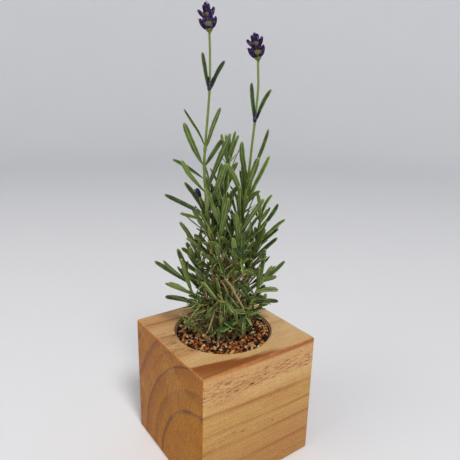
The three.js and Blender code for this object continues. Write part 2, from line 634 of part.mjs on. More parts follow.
const stems = SHOOTS.map((shoot) => (
  new Stem(shoot.path, shoot.radius, shoot.name.startsWith('flowering') ? STEM_LENGTHS : SHOOT_LENGTHS)));
const twigs = TWIGS.map((twig) => new Stem(twig.path, twig.radius, SHOOT_LENGTHS));
const space = new Clearance();
stems.forEach((stem, i) => space.add(i, stemRods(stem)));
twigs.forEach((twig) => space.add('twig', stemRods(twig)));
AXIL_BUDS.forEach((bud) => space.add('bud', bud.tips.map((tip) => [bud.foot, tip, bud.width / 2])));
const leaves = growLeaves(stems, space);

group.add(mesh('wood_block', blockBody(), COLOURS.wood, 0.6));
group.add(mesh('liner', linerBody(), COLOURS.liner, 0.4));
const holes = [...stems, ...twigs].map((stem) => stem.body(HOLE_AIR, FIT).rotate([0, 0, PLANT_TURN]));
group.add(mesh('potting_mix', mixBody(holes), COLOURS.mix, 0.95));

SHOOTS.forEach((shoot, i) => {
  const bodies = [stems[i].body(), ...leaves.filter((leaf) => leaf.owner === i).map(leafBody)];
  HEADS.filter((head) => head.shoot === shoot.name).forEach((head) => bodies.push(...bractBodies(head)));
  plant.add(mesh(shoot.name, fuse(bodies), i < 2 ? COLOURS.stem : COLOURS.leaf, 0.7));
});
TWIGS.forEach((twig, i) => plant.add(mesh(twig.name, twigs[i].body(), COLOURS.twig, 0.85)));
HEADS.forEach((head) => {
  const stem = stems[SHOOTS.findIndex((shoot) => shoot.name === head.shoot)];
  plant.add(mesh(head.name, headBody(head, stem), COLOURS.flower, 0.7));
});
AXIL_BUDS.forEach((bud) => {
  const prongs = bud.tips.map((tip) => straightBud(bud.foot, tip, bud.width));
  plant.add(mesh(bud.name, fuse(prongs), COLOURS.flower, 0.7));
});

export default group;
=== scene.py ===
"""Looks of the potted lavender: a pine cube with a liner cup, bark mix, leafy shoots and two flower spikes.

Laid out as an add-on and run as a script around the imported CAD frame. Shapes are worked out in
millimetres and put into their meshes in metres. The plant is written in its own frame, u to the right,
w away and z up as seen from the block's near corner; PLANT_TURN turns that frame into the block's.
"""
import math

import bpy
import numpy as np
from bpy.props import FloatProperty, FloatVectorProperty, IntProperty, PointerProperty
from bpy.types import Operator, Panel, PropertyGroup
from mathutils import Matrix, Vector


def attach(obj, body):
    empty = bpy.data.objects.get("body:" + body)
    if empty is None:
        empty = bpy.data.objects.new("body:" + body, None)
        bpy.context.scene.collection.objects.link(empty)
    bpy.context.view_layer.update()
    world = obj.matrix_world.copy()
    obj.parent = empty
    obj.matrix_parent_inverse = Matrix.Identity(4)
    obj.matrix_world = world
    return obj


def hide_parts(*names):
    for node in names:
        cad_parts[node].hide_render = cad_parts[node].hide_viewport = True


bl_info = {
    "name": "Potted lavender",
    "version": (1, 0, 0),
    "blender": (4, 5, 0),
    "location": "3D View > Sidebar > Lavender",
    "description": "Builds the looks of a potted lavender around its packed model",
    "category": "Add Mesh",
}

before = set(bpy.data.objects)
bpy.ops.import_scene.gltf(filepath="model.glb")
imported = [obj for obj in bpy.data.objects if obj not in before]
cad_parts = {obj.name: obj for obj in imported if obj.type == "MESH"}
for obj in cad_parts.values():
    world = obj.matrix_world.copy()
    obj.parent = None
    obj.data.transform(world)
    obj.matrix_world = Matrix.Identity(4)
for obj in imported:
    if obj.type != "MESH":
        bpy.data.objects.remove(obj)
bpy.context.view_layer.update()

# ---------- sizes shared with the CAD source, in millimetres ----------
MM = 0.001
BLOCK = 100.0
BORE_RADIUS = 37.5
BORE_FLOOR = 18.0
FIT = 0.3
LINER_WALL = 0.8
LINER_RIM = 99.0
LINER_RADIUS = BORE_RADIUS - FIT
MIX_RADIUS = BORE_RADIUS - 2 * FIT - LINER_WALL
MIX_FLOOR = BORE_FLOOR + 2 * FIT + 1
MIX_TOP = 97.2
PLANT_TURN = math.radians(-35.8)
PLANT_SEED = 11
STEM_LENGTHS = 10
SHOOT_LENGTHS = 6
LEAF_GAP = 0.45              # least air between a leaf and any other shoot
FLOOR_REACH = 33.0           # over the mix, as far as this from the axis, a leaf stays above FLOOR_IN,
FLOOR_IN = 98.5              # and over the wood above FLOOR_OUT
FLOOR_OUT = 100.6
LEAF_STATIONS = np.array([0, 0.35, 0.78, 1])
ROD_OFFSETS = np.array([0.12, 0.22, 0.25, 0.16])
ROD_RADII = np.array([0.17, 0.24, 0.24])

# Every shoot: name, path of its stem, radius at base and tip, rule for its leaf pairs, and the leaves
# that run to a measured tip.
# Rule: pairs, first and last place along the stem, first azimuth, turn per pair, then from the lowest
# pair to the highest: length, spread from the stem, bend; and width.
# Tip: height where the leaf leaves the stem, tip (u, w, z), bend, width.
SHOOTS = [
    ("flowering_stem_left", (1.6, 0.95),
     [[-4, 0, 88], [-9.2, 0, 154], [-12.4, -1, 190], [-15.2, -2, 222], [-14.4, -2, 243],
      [-12.1, -1, 276], [-12, 0, 300], [-12.8, 0, 318]],
     (11, 0.06, 0.43, 185, 84, 25, 34, 70, 36, 20, 12, 3.9),
     [[276, -17.1, 3, 301.4, -14, 3.1], [276, -2.3, 4, 296.2, 18, 3.1],
      [239, -29.9, 5, 264.6, 10, 2.6], [238, -4.4, -6, 266.2, -4, 3.2],
      [226, -28.4, -8, 256, -26, 4.6], [226, -3, 7, 244.6, 6, 3.4],
      [217, -38, 3, 230, 20, 3.3], [207, -29.9, -11, 231.4, -12, 4.2],
      [207, 2.6, -11, 250, 10, 4.6], [190, -44.3, 4, 204.2, 14, 3.6],
      [194, 0.2, -14, 230.7, 4, 4.8], [186, -31.8, -9, 194.1, 6, 4.4],
      [186, -20, -15, 199.5, -6, 3.6]]),
    ("flowering_stem_right", (1.6, 0.95),
     [[3, 0, 88], [5.9, 0, 148], [8.5, 0, 164], [12.1, 0, 191], [16, 0, 222], [17.6, 0, 241],
      [19, 0, 257], [20.4, 0, 278], [20, 0, 290], [19.3, 0, 302]],
     (11, 0.06, 0.45, 340, 84, 24, 34, 70, 36, 20, 12, 3.9),
     [[256, 16.1, 4, 282.6, -10, 3.2], [256, 29.7, 5, 278.7, 14, 3.2],
      [217, 29.1, 5, 252.4, -16, 2.8], [214, 10.5, -8, 244.4, 0, 4.7],
      [209, 22.1, -7, 234, -6, 4.5], [200, 30.6, 5, 234, -14, 3.1],
      [200, 0.2, -15, 230.9, 8, 4.3], [198, 23.5, -12, 212, 10, 4.2],
      [197, 12, 16, 228, 8, 3.8]]),
    ("shoot_centre_back", (1.3, 0.75),
     [[0, 7, 88], [-1, 8, 140], [-1, 8, 190], [1, 7, 228]],
     (14, 0.1, 0.9, 20, 84, 26, 28, 52, 20, 24, 8, 3.6),
     [[227, -3.8, 8, 248, 0, 2.8], [226, -0.6, 4, 247.9, 0, 2.8],
      [227, 1.6, 12, 247.8, 4, 2.8], [224, 5.8, 2, 250.8, 4, 2.8],
      [226, 6.7, 8, 243.9, 14, 2.8], [222, 8.4, 12, 247, 8, 2.8]]),
    ("shoot_centre_front", (1.3, 0.75),
     [[-2, -6, 88], [-4, -9, 130], [-4, -10, 165], [-2, -9, 200]],
     (13, 0.12, 0.98, 60, 86, 26, 34, 58, 14, 26, 6, 4.2),
     [[164, -0.8, -20, 153.5, 10, 3.4], [169, -16, -18, 175, 46, 3.8]]),
    ("shoot_centre_right", (1.3, 0.75),
     [[3, -6, 88], [6, -9, 130], [9, -9, 160], [11, -8, 188]],
     (12, 0.13, 0.98, 10, 86, 26, 32, 58, 14, 26, 6, 4),
     [[163, 17, -19, 171, 50, 4], [150, 23, -20, 152, 50, 4]]),
    ("shoot_inner_left", (1.3, 0.75),
     [[-6.5, 3.5, 88], [-8, 9, 130], [-9, 11, 165], [-9, 12, 200]],
     (12, 0.12, 0.98, 110, 85, 26, 29, 54, 16, 24, 6, 3.8), []),
    ("shoot_inner_right", (1.3, 0.75),
     [[6, 5, 88], [10, 12, 130], [12, 14, 160], [14, 14, 196]],
     (12, 0.13, 0.98, 80, 85, 26, 29, 54, 16, 24, 6, 3.8), []),
    ("shoot_tall_right", (1.3, 0.75),
     [[8, 1, 88], [15, 4, 130], [22, 4, 160], [26, 3, 186]],
     (9, 0.15, 0.82, 20, 88, 26, 29, 56, 30, 14, 10, 3.6),
     [[184, 33.5, 3, 206, 40, 2.6], [180, 38.6, 6, 198.8, -10, 3.2],
      [183, 22.7, 0, 208.1, 8, 3.2], [172, 38.9, -3, 184, 12, 3.6],
      [166, 40, 10, 178.6, 10, 3.2], [172, 29.2, -10, 190.1, 4, 3.6],
      [158, 29.2, -10, 166.4, 26, 3.4]]),
    ("shoot_low_right", (1.3, 0.85),
     [[9, -4, 88], [14, -6, 108], [21, -7, 126], [28, -7, 144]],
     (6, 0.24, 0.7, 16, 86, 24, 24, 60, 44, 12, 10, 4),
     [[141, 45.4, 2, 155.7, 6, 3.6], [141, 38.5, -9, 148, 18, 4],
      [134, 41.8, 4, 131.3, 22, 4.2], [140, 30.3, 4, 164.5, -8, 3.6],
      [138, 34.6, -11, 157, 10, 3.6], [128, 34.1, -15, 131.2, 30, 4],
      [126, 42.9, 9, 119.5, 24, 3.8], [136, 25.4, -15, 157.2, 0, 3.8]]),
    ("shoot_back_right", (1.2, 0.75),
     [[9, 8, 88], [15.5, 15, 118], [20, 20.5, 140], [22.5, 23, 156]],
     (8, 0.2, 0.97, 50, 87, 24, 25, 56, 20, 16, 8, 3.8), []),
    ("shoot_low_left", (1.3, 0.85),
     [[-9, -4, 88], [-15, -7, 110], [-21, -8, 127], [-28, -8, 144]],
     (6, 0.24, 0.66, 206, 86, 24, 24, 60, 44, 12, 10, 4),
     [[141, -52.7, 3, 153, 14, 3.8], [141, -44, -9, 158.2, -6, 4.2],
      [138, -35.3, 4, 163, -16, 4.2], [134, -31, -12, 161, -12, 3.4],
      [131, -45.5, 7, 133.6, 16, 3], [132, -40.1, -15, 143.3, 6, 4.6],
      [124, -45.2, 3, 123.8, 20, 4.2], [122, -38.9, -16, 134.3, 0, 4]]),
    ("shoot_mid_left", (1.2, 0.75),
     [[-9.5, 1, 88], [-13, 3, 118], [-17, 4, 140], [-20, 3, 154]],
     (6, 0.2, 0.8, 215, 86, 24, 22, 58, 36, 16, 10, 3.6),
     [[150, -28.8, 5, 168.1, -10, 3.8], [150, -25, -7, 168.7, -8, 3.6],
      [152, -18.5, -6, 172.7, 4, 3.4], [142, -33.9, 7, 153.3, 8, 3.4]]),
    ("shoot_back_left", (1.2, 0.75),
     [[-8, 8, 88], [-14, 15, 115], [-19, 21, 140], [-22, 24, 158]],
     (8, 0.2, 0.97, 140, 87, 24, 25, 56, 20, 16, 8, 3.8), []),
    ("shoot_front_left", (1.2, 0.75),
     [[-5, -9, 88], [-8, -13, 108], [-11.5, -16.5, 130], [-13.5, -18.5, 148]],
     (8, 0.4, 0.97, 240, 87, 18, 20, 62, 26, 24, 12, 3.8),
     [[147, -3.6, -24, 134, 16, 4.4], [114, -8.2, -22, 107.5, 30, 3.2],
      [116, -19.7, -22, 118, -10, 3.4], [134, -22.5, -22, 128, 24, 3.8]]),
    ("shoot_front_middle", (1.2, 0.75),
     [[0, -10, 88], [2, -15, 113], [2, -18, 133], [1, -19, 149]],
     (8, 0.42, 0.97, 290, 86, 20, 22, 62, 22, 24, 10, 3.8),
     [[134, -12.2, -27, 121.5, -10, 4], [131, -1.4, -27, 118.5, 20, 3.6],
      [133, 7.4, -26, 126.5, 10, 3.6], [141, 11.6, -24, 129.5, 12, 4],
      [146, 16, -23, 138, 24, 4], [113, 8.4, -23, 119.5, -14, 3.6]]),
    ("shoot_front_right", (1.2, 0.75),
     [[5, -10, 88], [10, -14, 104], [14, -17, 115], [17, -20, 123]],
     (6, 0.5, 0.97, 310, 87, 15, 17, 62, 28, 20, 12, 3.6),
     [[121, 14.6, -27, 113.5, 20, 3.8], [121, 25.8, -24, 126, -10, 3.4],
      [109, -1, -21, 111, 14, 3.8]]),
    ("shoot_back_middle", (1.2, 0.75),
     [[1, 12, 88], [1, 20, 118], [2, 26, 140], [3, 30, 158]],
     (9, 0.2, 0.97, 80, 87, 24, 25, 58, 20, 20, 8, 3.8), []),
    ("shoot_back_low", (1.1, 0.75),
     [[-3, 12, 88], [-5, 20, 104], [-8, 28, 113], [-11, 34, 120]],
     (6, 0.36, 0.96, 100, 87, 20, 20, 62, 26, 16, 8, 3.8), []),
    ("shoot_skirt_left", (1.1, 0.75),
     [[-11, -7, 88], [-16, -11, 102], [-23, -13, 109], [-30, -14, 115]],
     (5, 0.56, 0.96, 200, 87, 13, 14, 58, 28, 12, 8, 3.2),
     [[109, -31.2, -20, 116.5, 10, 3.4]]),
    ("shoot_skirt_right", (1.1, 0.75),
     [[12, 4, 88], [18, 7, 102], [25, 10, 110.5], [31.5, 12.3, 117]],
     (5, 0.56, 0.96, 32, 87, 13, 14, 58, 28, 12, 8, 3.2), []),
]

# Bare dry twigs: name, path, radius at base and tip.
TWIGS = [
    ("dry_twig_left", [[-13.5, -2, 88], [-18, -1.5, 103], [-26, -3, 110], [-34, -2, 112.5]], (1.1, 0.7)),
    ("dry_twig_front", [[-9, -13.5, 88], [-11, -18, 99], [-13, -23, 106], [-14, -27, 108]], (1.1, 0.8)),
    ("dry_twig_middle", [[-4, -14.5, 88], [-2.5, -19, 108], [-0.3, -21.5, 128], [-5, -22.5, 150]],
     (1.1, 0.8)),
    ("dry_twig_right", [[12.5, -8, 88], [15.5, -11.5, 118], [8.5, -16, 136], [3, -16.8, 146]], (1.0, 0.7)),
]

# The calyces of a head, each: height up the head, azimuth, length, spread, bend, width, way out.
CALYCES = [
    (1.4, 356, 8.8, 54, -54, 2.2, 1.0), (1.6, 40, 8.0, 44, -30, 2.4, 1.0),
    (1.6, 90, 8.2, 44, -28, 2.5, 1.0), (1.6, 138, 8.0, 44, -30, 2.4, 1.0),
    (1.4, 184, 8.6, 54, -52, 2.4, 1.0), (1.5, 230, 5.4, 44, -34, 2.1, 1.0),
    (1.5, 310, 5.4, 44, -34, 2.1, 1.0), (4.4, 248, 4.6, 14, -8, 2.4, 1.7), (4.4, 292, 4.6, 14, -8, 2.4, 1.7),
    (4.4, 204, 5.0, 34, -24, 2.3, 1.2), (4.4, 336, 5.0, 30, -24, 2.3, 1.2),
    (7.8, 2, 7.8, 40, -30, 2.2, 0.9), (8.2, 62, 7.0, 46, -24, 2.4, 0.9),
    (8.2, 118, 7.0, 46, -24, 2.4, 0.9), (8.2, 180, 7.6, 56, -24, 2.3, 0.9),
    (7.8, 240, 4.0, 26, -16, 2.1, 1.2), (7.8, 300, 4.0, 24, -14, 2.1, 1.2),
    (10.8, 30, 6.2, 10, -4, 2.3, 0.6), (11.0, 100, 6.6, 12, -6, 2.3, 0.8), (10.6, 168, 6.0, 20, -8, 2.2, 0.8),
    (11.2, 250, 6.4, 10, -6, 2.3, 0.7), (10.8, 315, 5.6, 16, -8, 2.1, 0.8),
]
# The bracts of a head in the same way, and then how brown each is.
BRACTS = [
    (3.0, 270, 3.5, 22, -20, 6.6, 3.2, 0.2), (3.0, 90, 3.5, 22, -20, 6.6, 3.2, 0.2),
    (4.0, 350, 3.6, 44, -30, 1.6, 2.6, 0.6), (3.6, 186, 6.4, 48, -20, 1.4, 2.5, 0.2),
    (9.0, 266, 2.8, 26, -24, 4.0, 2.4, 0.8), (9.0, 90, 2.8, 26, -24, 4.0, 2.4, 0.8),
    (9.2, 214, 2.8, 40, -20, 2.4, 2.2, 1.0),
]
# Flower heads: name, the stem each sits on, its foot and its top.
HEADS = [
    ("flower_head_left", "flowering_stem_left", [-12.4, 0, 312.6], [-14.8, 0, 331]),
    ("flower_head_right", "flowering_stem_right", [19.8, 0, 296], [16.8, 0, 313.4]),
]
# Buds in the leaf axils: name, foot, tips of the prongs, width.
AXIL_BUDS = [
    ("axil_buds_left", [-12.2, -2.4, 277.6], [[-13.2, -2.8, 285], [-10.2, -2.9, 284.6]], 1.5),
    ("axil_buds_right", [19, -1.55, 257.6], [[18.2, -2.05, 264.6], [21.2, -2.1, 264]], 1.5),
    ("side_bud", [-15.1, -2.45, 200.5], [[-20.3, -4.4, 207.5]], 2.5),
]
# Turn in azimuth, change of spread and share of the length that a leaf tries in turn, until it clears.
TRIES = [(0, 0, 1), (14, 0, 1), (-14, 0, 1), (0, -9, 1), (0, 9, 1), (28, 0, 1), (-28, 0, 1),
         (0, 0, 0.8), (20, -9, 0.8), (-20, -9, 0.8), (0, -16, 0.8), (42, 0, 0.8), (-42, 0, 0.8),
         (0, 12, 0.8), (0, 0, 0.62), (26, 0, 0.62), (-26, 0, 0.62)]


# ---------- small helpers ----------
def unit(vector):
    """The vector over its length, along the last axis."""
    return vector / np.linalg.norm(vector, axis=-1, keepdims=True)


def mix(low, high, share):
    """The value a share of the way from low to high."""
    return low + (high - low) * share


def marked(rings, first=0.0, second=0.0, third=0.0):
    """Three values for each point of the rings, which a material reads."""
    marks = np.zeros(rings.shape)
    marks[..., 0], marks[..., 1], marks[..., 2] = first, second, third
    return marks


def around(columns):
    """Even steps of a full turn, in radians."""
    return np.arange(columns) * 2 * math.pi / columns


def carried(lines, across, up):
    """Sections on lines: each point goes `across` along the line's side and `up` along its face."""
    points, side, face = lines
    return points[:, :, None] + side[:, :, None] * across[..., None] + face[:, :, None] * up[..., None]


def linear(red, green, blue):
    """A shader colour from the 0 to 255 values that a picture shows."""
    shown = np.array([red, green, blue]) / 255
    light = np.where(shown <= 0.04045, shown / 12.92, ((shown + 0.055) / 1.055) ** 2.4)
    return tuple(float(value) for value in light)


def to_block(points):
    """Turns points of the plant's frame about z into the block's frame."""
    cosine, sine = math.cos(PLANT_TURN), math.sin(PLANT_TURN)
    turn = np.array([[cosine, sine, 0], [-sine, cosine, 0], [0, 0, 1]])
    return np.asarray(points, float) @ turn


class Draws:
    """A repeatable stream of draws between -1 and 1, the same as the CAD source draws."""

    def __init__(self, seed):
        self.state = (seed * 7919 + 104729) % 4294967296
        for _ in range(3):
            self.next()

    def next(self):
        self.state = (self.state * 1664525 + 1013904223) % 4294967296
        return self.state / 2147483648 - 1


# ---------- meshes ----------
def ring_faces(rows, columns, closed=True):
    """Quads between the rows of a grid; `closed` joins the last column to the first."""
    first = np.arange(rows - 1)[:, None] * columns
    here = np.arange(columns if closed else columns - 1)
    there = (here + 1) % columns
    a, b = first + here, first + there
    return np.stack([a, b, b + columns, a + columns], -1).reshape(-1, 4)


class Shape:
    """Collects grids of points, in millimetres, and puts them into one mesh."""

    def __init__(self):
        self.points, self.faces, self.values, self.count = [], [], {}, 0

    def add(self, points, faces, **values):
        """Points (n, 3), a list of face arrays, and per-point values of one or three numbers."""
        for name in set(values) | set(self.values):
            given = values.get(name)
            if given is None:
                raise ValueError(f"every part of a shape needs its {name}")
            self.values.setdefault(name, []).append(np.asarray(given, np.float32))
        self.points.append(points)
        self.faces += [face + self.count for face in faces]
        self.count += len(points)

    def tubes(self, rings, **values):
        """Tubes through rings of points (tubes, rings, columns, 3), counter-clockwise about the way
        onward, each closed by a flat face at both ends."""
        tubes, rows, columns, _ = rings.shape
        start = np.arange(tubes)[:, None, None] * rows * columns
        sides = (ring_faces(rows, columns) + start).reshape(-1, 4)
        foot = (np.arange(columns)[::-1] + start[:, 0]).reshape(-1, columns)
        head = (np.arange(columns) + (rows - 1) * columns + start[:, 0]).reshape(-1, columns)
        spread = {name: np.broadcast_to(given, (tubes, rows, columns, 3)).reshape(-1, 3)
                  for name, given in values.items()}
        self.add(rings.reshape(-1, 3), [sides, foot, head], **spread)

    def build(self, name, smooth_faces=True):
        """The finished object, at the origin, with its values as attributes."""
        points = np.concatenate(self.points) * MM
        corners = np.concatenate([face.ravel() for face in self.faces])
        sizes = np.concatenate([np.full(len(face), face.shape[1]) for face in self.faces])
        mesh = bpy.data.meshes.new(name)
        mesh.vertices.add(len(points))
        mesh.vertices.foreach_set("co", points.astype(np.float32).ravel())
        mesh.loops.add(len(corners))
        mesh.loops.foreach_set("vertex_index", corners.astype(np.int32))
        mesh.polygons.add(len(sizes))
        mesh.polygons.foreach_set("loop_start", (np.cumsum(sizes) - sizes).astype(np.int32))
        mesh.polygons.foreach_set("use_smooth", np.full(len(sizes), smooth_faces))
        for key, parts in self.values.items():
            attribute = mesh.attributes.new(key, "FLOAT_VECTOR", "POINT")
            attribute.data.foreach_set("vector", np.concatenate(parts).ravel())
        mesh.update(calc_edges=True)
        if mesh.validate():
            raise RuntimeError(f"{name} has faces that do not fit together")
        made = bpy.data.objects.new(name, mesh)
        bpy.context.scene.collection.objects.link(made)
        return made


def finish_piece(piece, material, slot, *nodes):
    """Dresses a piece and ties it to the frame."""
    piece.data.materials.append(material)
    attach(piece, "root")
    if nodes:
        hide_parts(*nodes)
    return piece


# ---------- materials ----------
class Finish:
    """A node material on one Principled shader, with short ways to wire its nodes."""

    def __init__(self, name, **sockets):
        self.material = bpy.data.materials.new(name)
        self.material.use_nodes = True
        self.tree = self.material.node_tree
        self.shader = self.tree.nodes["Principled BSDF"]
        for key, value in sockets.items():
            self.shader.inputs[key.replace("_", " ")].default_value = value

    def node(self, kind, inputs=(), **settings):
        made = self.tree.nodes.new(kind)
        for key, value in settings.items():
            setattr(made, key, value)
        for key, value in dict(inputs).items():
            self.put(made.inputs[key], value)
        return made

    def put(self, socket, value):
        if isinstance(value, bpy.types.NodeSocket):
            self.tree.links.new(value, socket)
        elif hasattr(value, "__len__") and len(value) == 3 and socket.type == "RGBA":
            socket.default_value = (*value, 1)
        else:
            socket.default_value = value

    def place(self, scale=(1, 1, 1)):
        """The place on the object in millimetres, times a scale for each axis."""
        where = self.node("ShaderNodeTexCoord").outputs["Object"]
        sizes = tuple(value / MM for value in scale)
        return self.node("ShaderNodeMapping", {"Vector": where, "Scale": sizes}).outputs["Vector"]

    def value(self, name):
        """A piece's own value, as three sockets."""
        return self.parts(self.node("ShaderNodeAttribute", attribute_name=name).outputs["Vector"])

    def parts(self, vector):
        return self.node("ShaderNodeSeparateXYZ", {0: vector}).outputs

    def maths(self, operation, first, second=0.0):
        return self.node("ShaderNodeMath", {0: first, 1: second}, operation=operation).outputs[0]

    def add(self, *values):
        return self.chain("ADD", values)

    def times(self, *values):
        return self.chain("MULTIPLY", values)

    def less(self, first, second):
        return self.maths("SUBTRACT", first, second)

    def chain(self, operation, values):
        total = values[0]
        for value in values[1:]:
            total = self.maths(operation, total, value)
        return total

    def noise(self, scale, detail=3.0, rough=0.55):
        """Noise in the object's own space; the scale is waves per millimetre along each axis."""
        made = self.node("ShaderNodeTexNoise", {"Vector": self.place(scale), "Scale": 1.0,
                                                "Detail": detail, "Roughness": rough})
        return made.outputs["Fac"]

    def band(self, value, low, high, bottom=0.0, top=1.0):
        """A smooth step of the value from low to high, given as bottom to top."""
        made = self.node("ShaderNodeMapRange", {"Value": value, "From Min": low, "From Max": high,
                                                "To Min": bottom, "To Max": top},
                         interpolation_type="SMOOTHSTEP")
        return made.outputs[0]

    def ramp(self, value, stops, interpolation="LINEAR"):
        """A colour ramp; each stop is a place and a colour, or a place and a grey."""
        made = self.node("ShaderNodeValToRGB", {"Fac": value})
        ramp = made.color_ramp
        ramp.interpolation = interpolation
        while len(ramp.elements) < len(stops):
            ramp.elements.new(1.0)
        for element, (place, colour) in zip(ramp.elements, stops):
            element.position = place
            element.color = (*colour, 1) if hasattr(colour, "__len__") else (colour, colour, colour, 1)
        return made.outputs["Color"]

    def layers(self, colour, *coats):
        """The colour under coats, each a share and the colour that covers it by that share."""
        for share, coat in coats:
            colour = self.blend(share, colour, coat)
        return colour

    def blend(self, share, first, second):
        made = self.node("ShaderNodeMix", data_type="RGBA", blend_type="MIX")
        self.put(made.inputs["Factor"], share)
        self.put(made.inputs[6], first)
        self.put(made.inputs[7], second)
        return made.outputs[2]

    def bump(self, height, depth, strength=1.0):
        """Raises the surface by height times depth, in millimetres."""
        made = self.node("ShaderNodeBump", {"Height": height, "Distance": depth * MM, "Strength": strength})
        self.put(self.shader.inputs["Normal"], made.outputs["Normal"])

    def colour(self, value):
        self.put(self.shader.inputs["Base Color"], value)

    def rough(self, value):
        self.put(self.shader.inputs["Roughness"], value)


# ---------- the wooden block ----------
# Growth rings of the block, measured where they cross its faces: they run round a line along X that
# lies below and in front of the end-grain face, bows down at the left and is wider than high.
PITH_Y = -60.0
PITH_Z = -13.2
PITH_BOW = 0.00043
BOW_END = 46.0
PITH_FLAT = 0.87
# Each ring: its outer edge, then the width and depth of its dark part on the long faces and on the ends.
RINGS = [(32, 3, 0.8, 2.5, 0.9), (46.5, 3, 0.9, 2, 0.12), (58, 2.5, 0.75, 2, 0.15),
         (71.5, 3.5, 1.0, 3.5, 1.0),
         (84.3, 2, 0.3, 8, 0.5), (98.6, 4, 0.5, 2, 1.0), (109, 2, 0.35, 3, 0.35), (120, 5, 1.0, 6, 0.6),
         (135.5, 2, 1.0, 3, 0.7), (146, 3, 0.6, 3, 0.5)]
RING_SPAN = 160.0
PALE_WOOD = linear(206, 166, 98)
GOLD_WOOD = linear(180, 130, 66)
TOP_PALE = linear(240, 206, 152)
TOP_TAN = linear(196, 142, 82)
PINK_WOOD = linear(190, 126, 70)
FRONT_BAND = linear(128, 60, 18)
FRONT_RUST = linear(152, 86, 38)
END_GOLD = linear(180, 112, 0)
END_PURPLE = linear(180, 114, 44)
END_FLECK = linear(180, 126, 6)
END_PALE = linear(204, 146, 62)
END_LOW_PALE = linear(190, 130, 18)
END_RING = linear(92, 42, 10)
END_PORE = linear(86, 42, 4)
CREAM_WOOD_AND_PAINTED_LIGHT = linear(252, 216, 160)
BROWN_WOOD = linear(158, 104, 50)
STREAK = linear(146, 86, 40)
RESIN = linear(88, 46, 20)
RUBBED = linear(200, 130, 68)


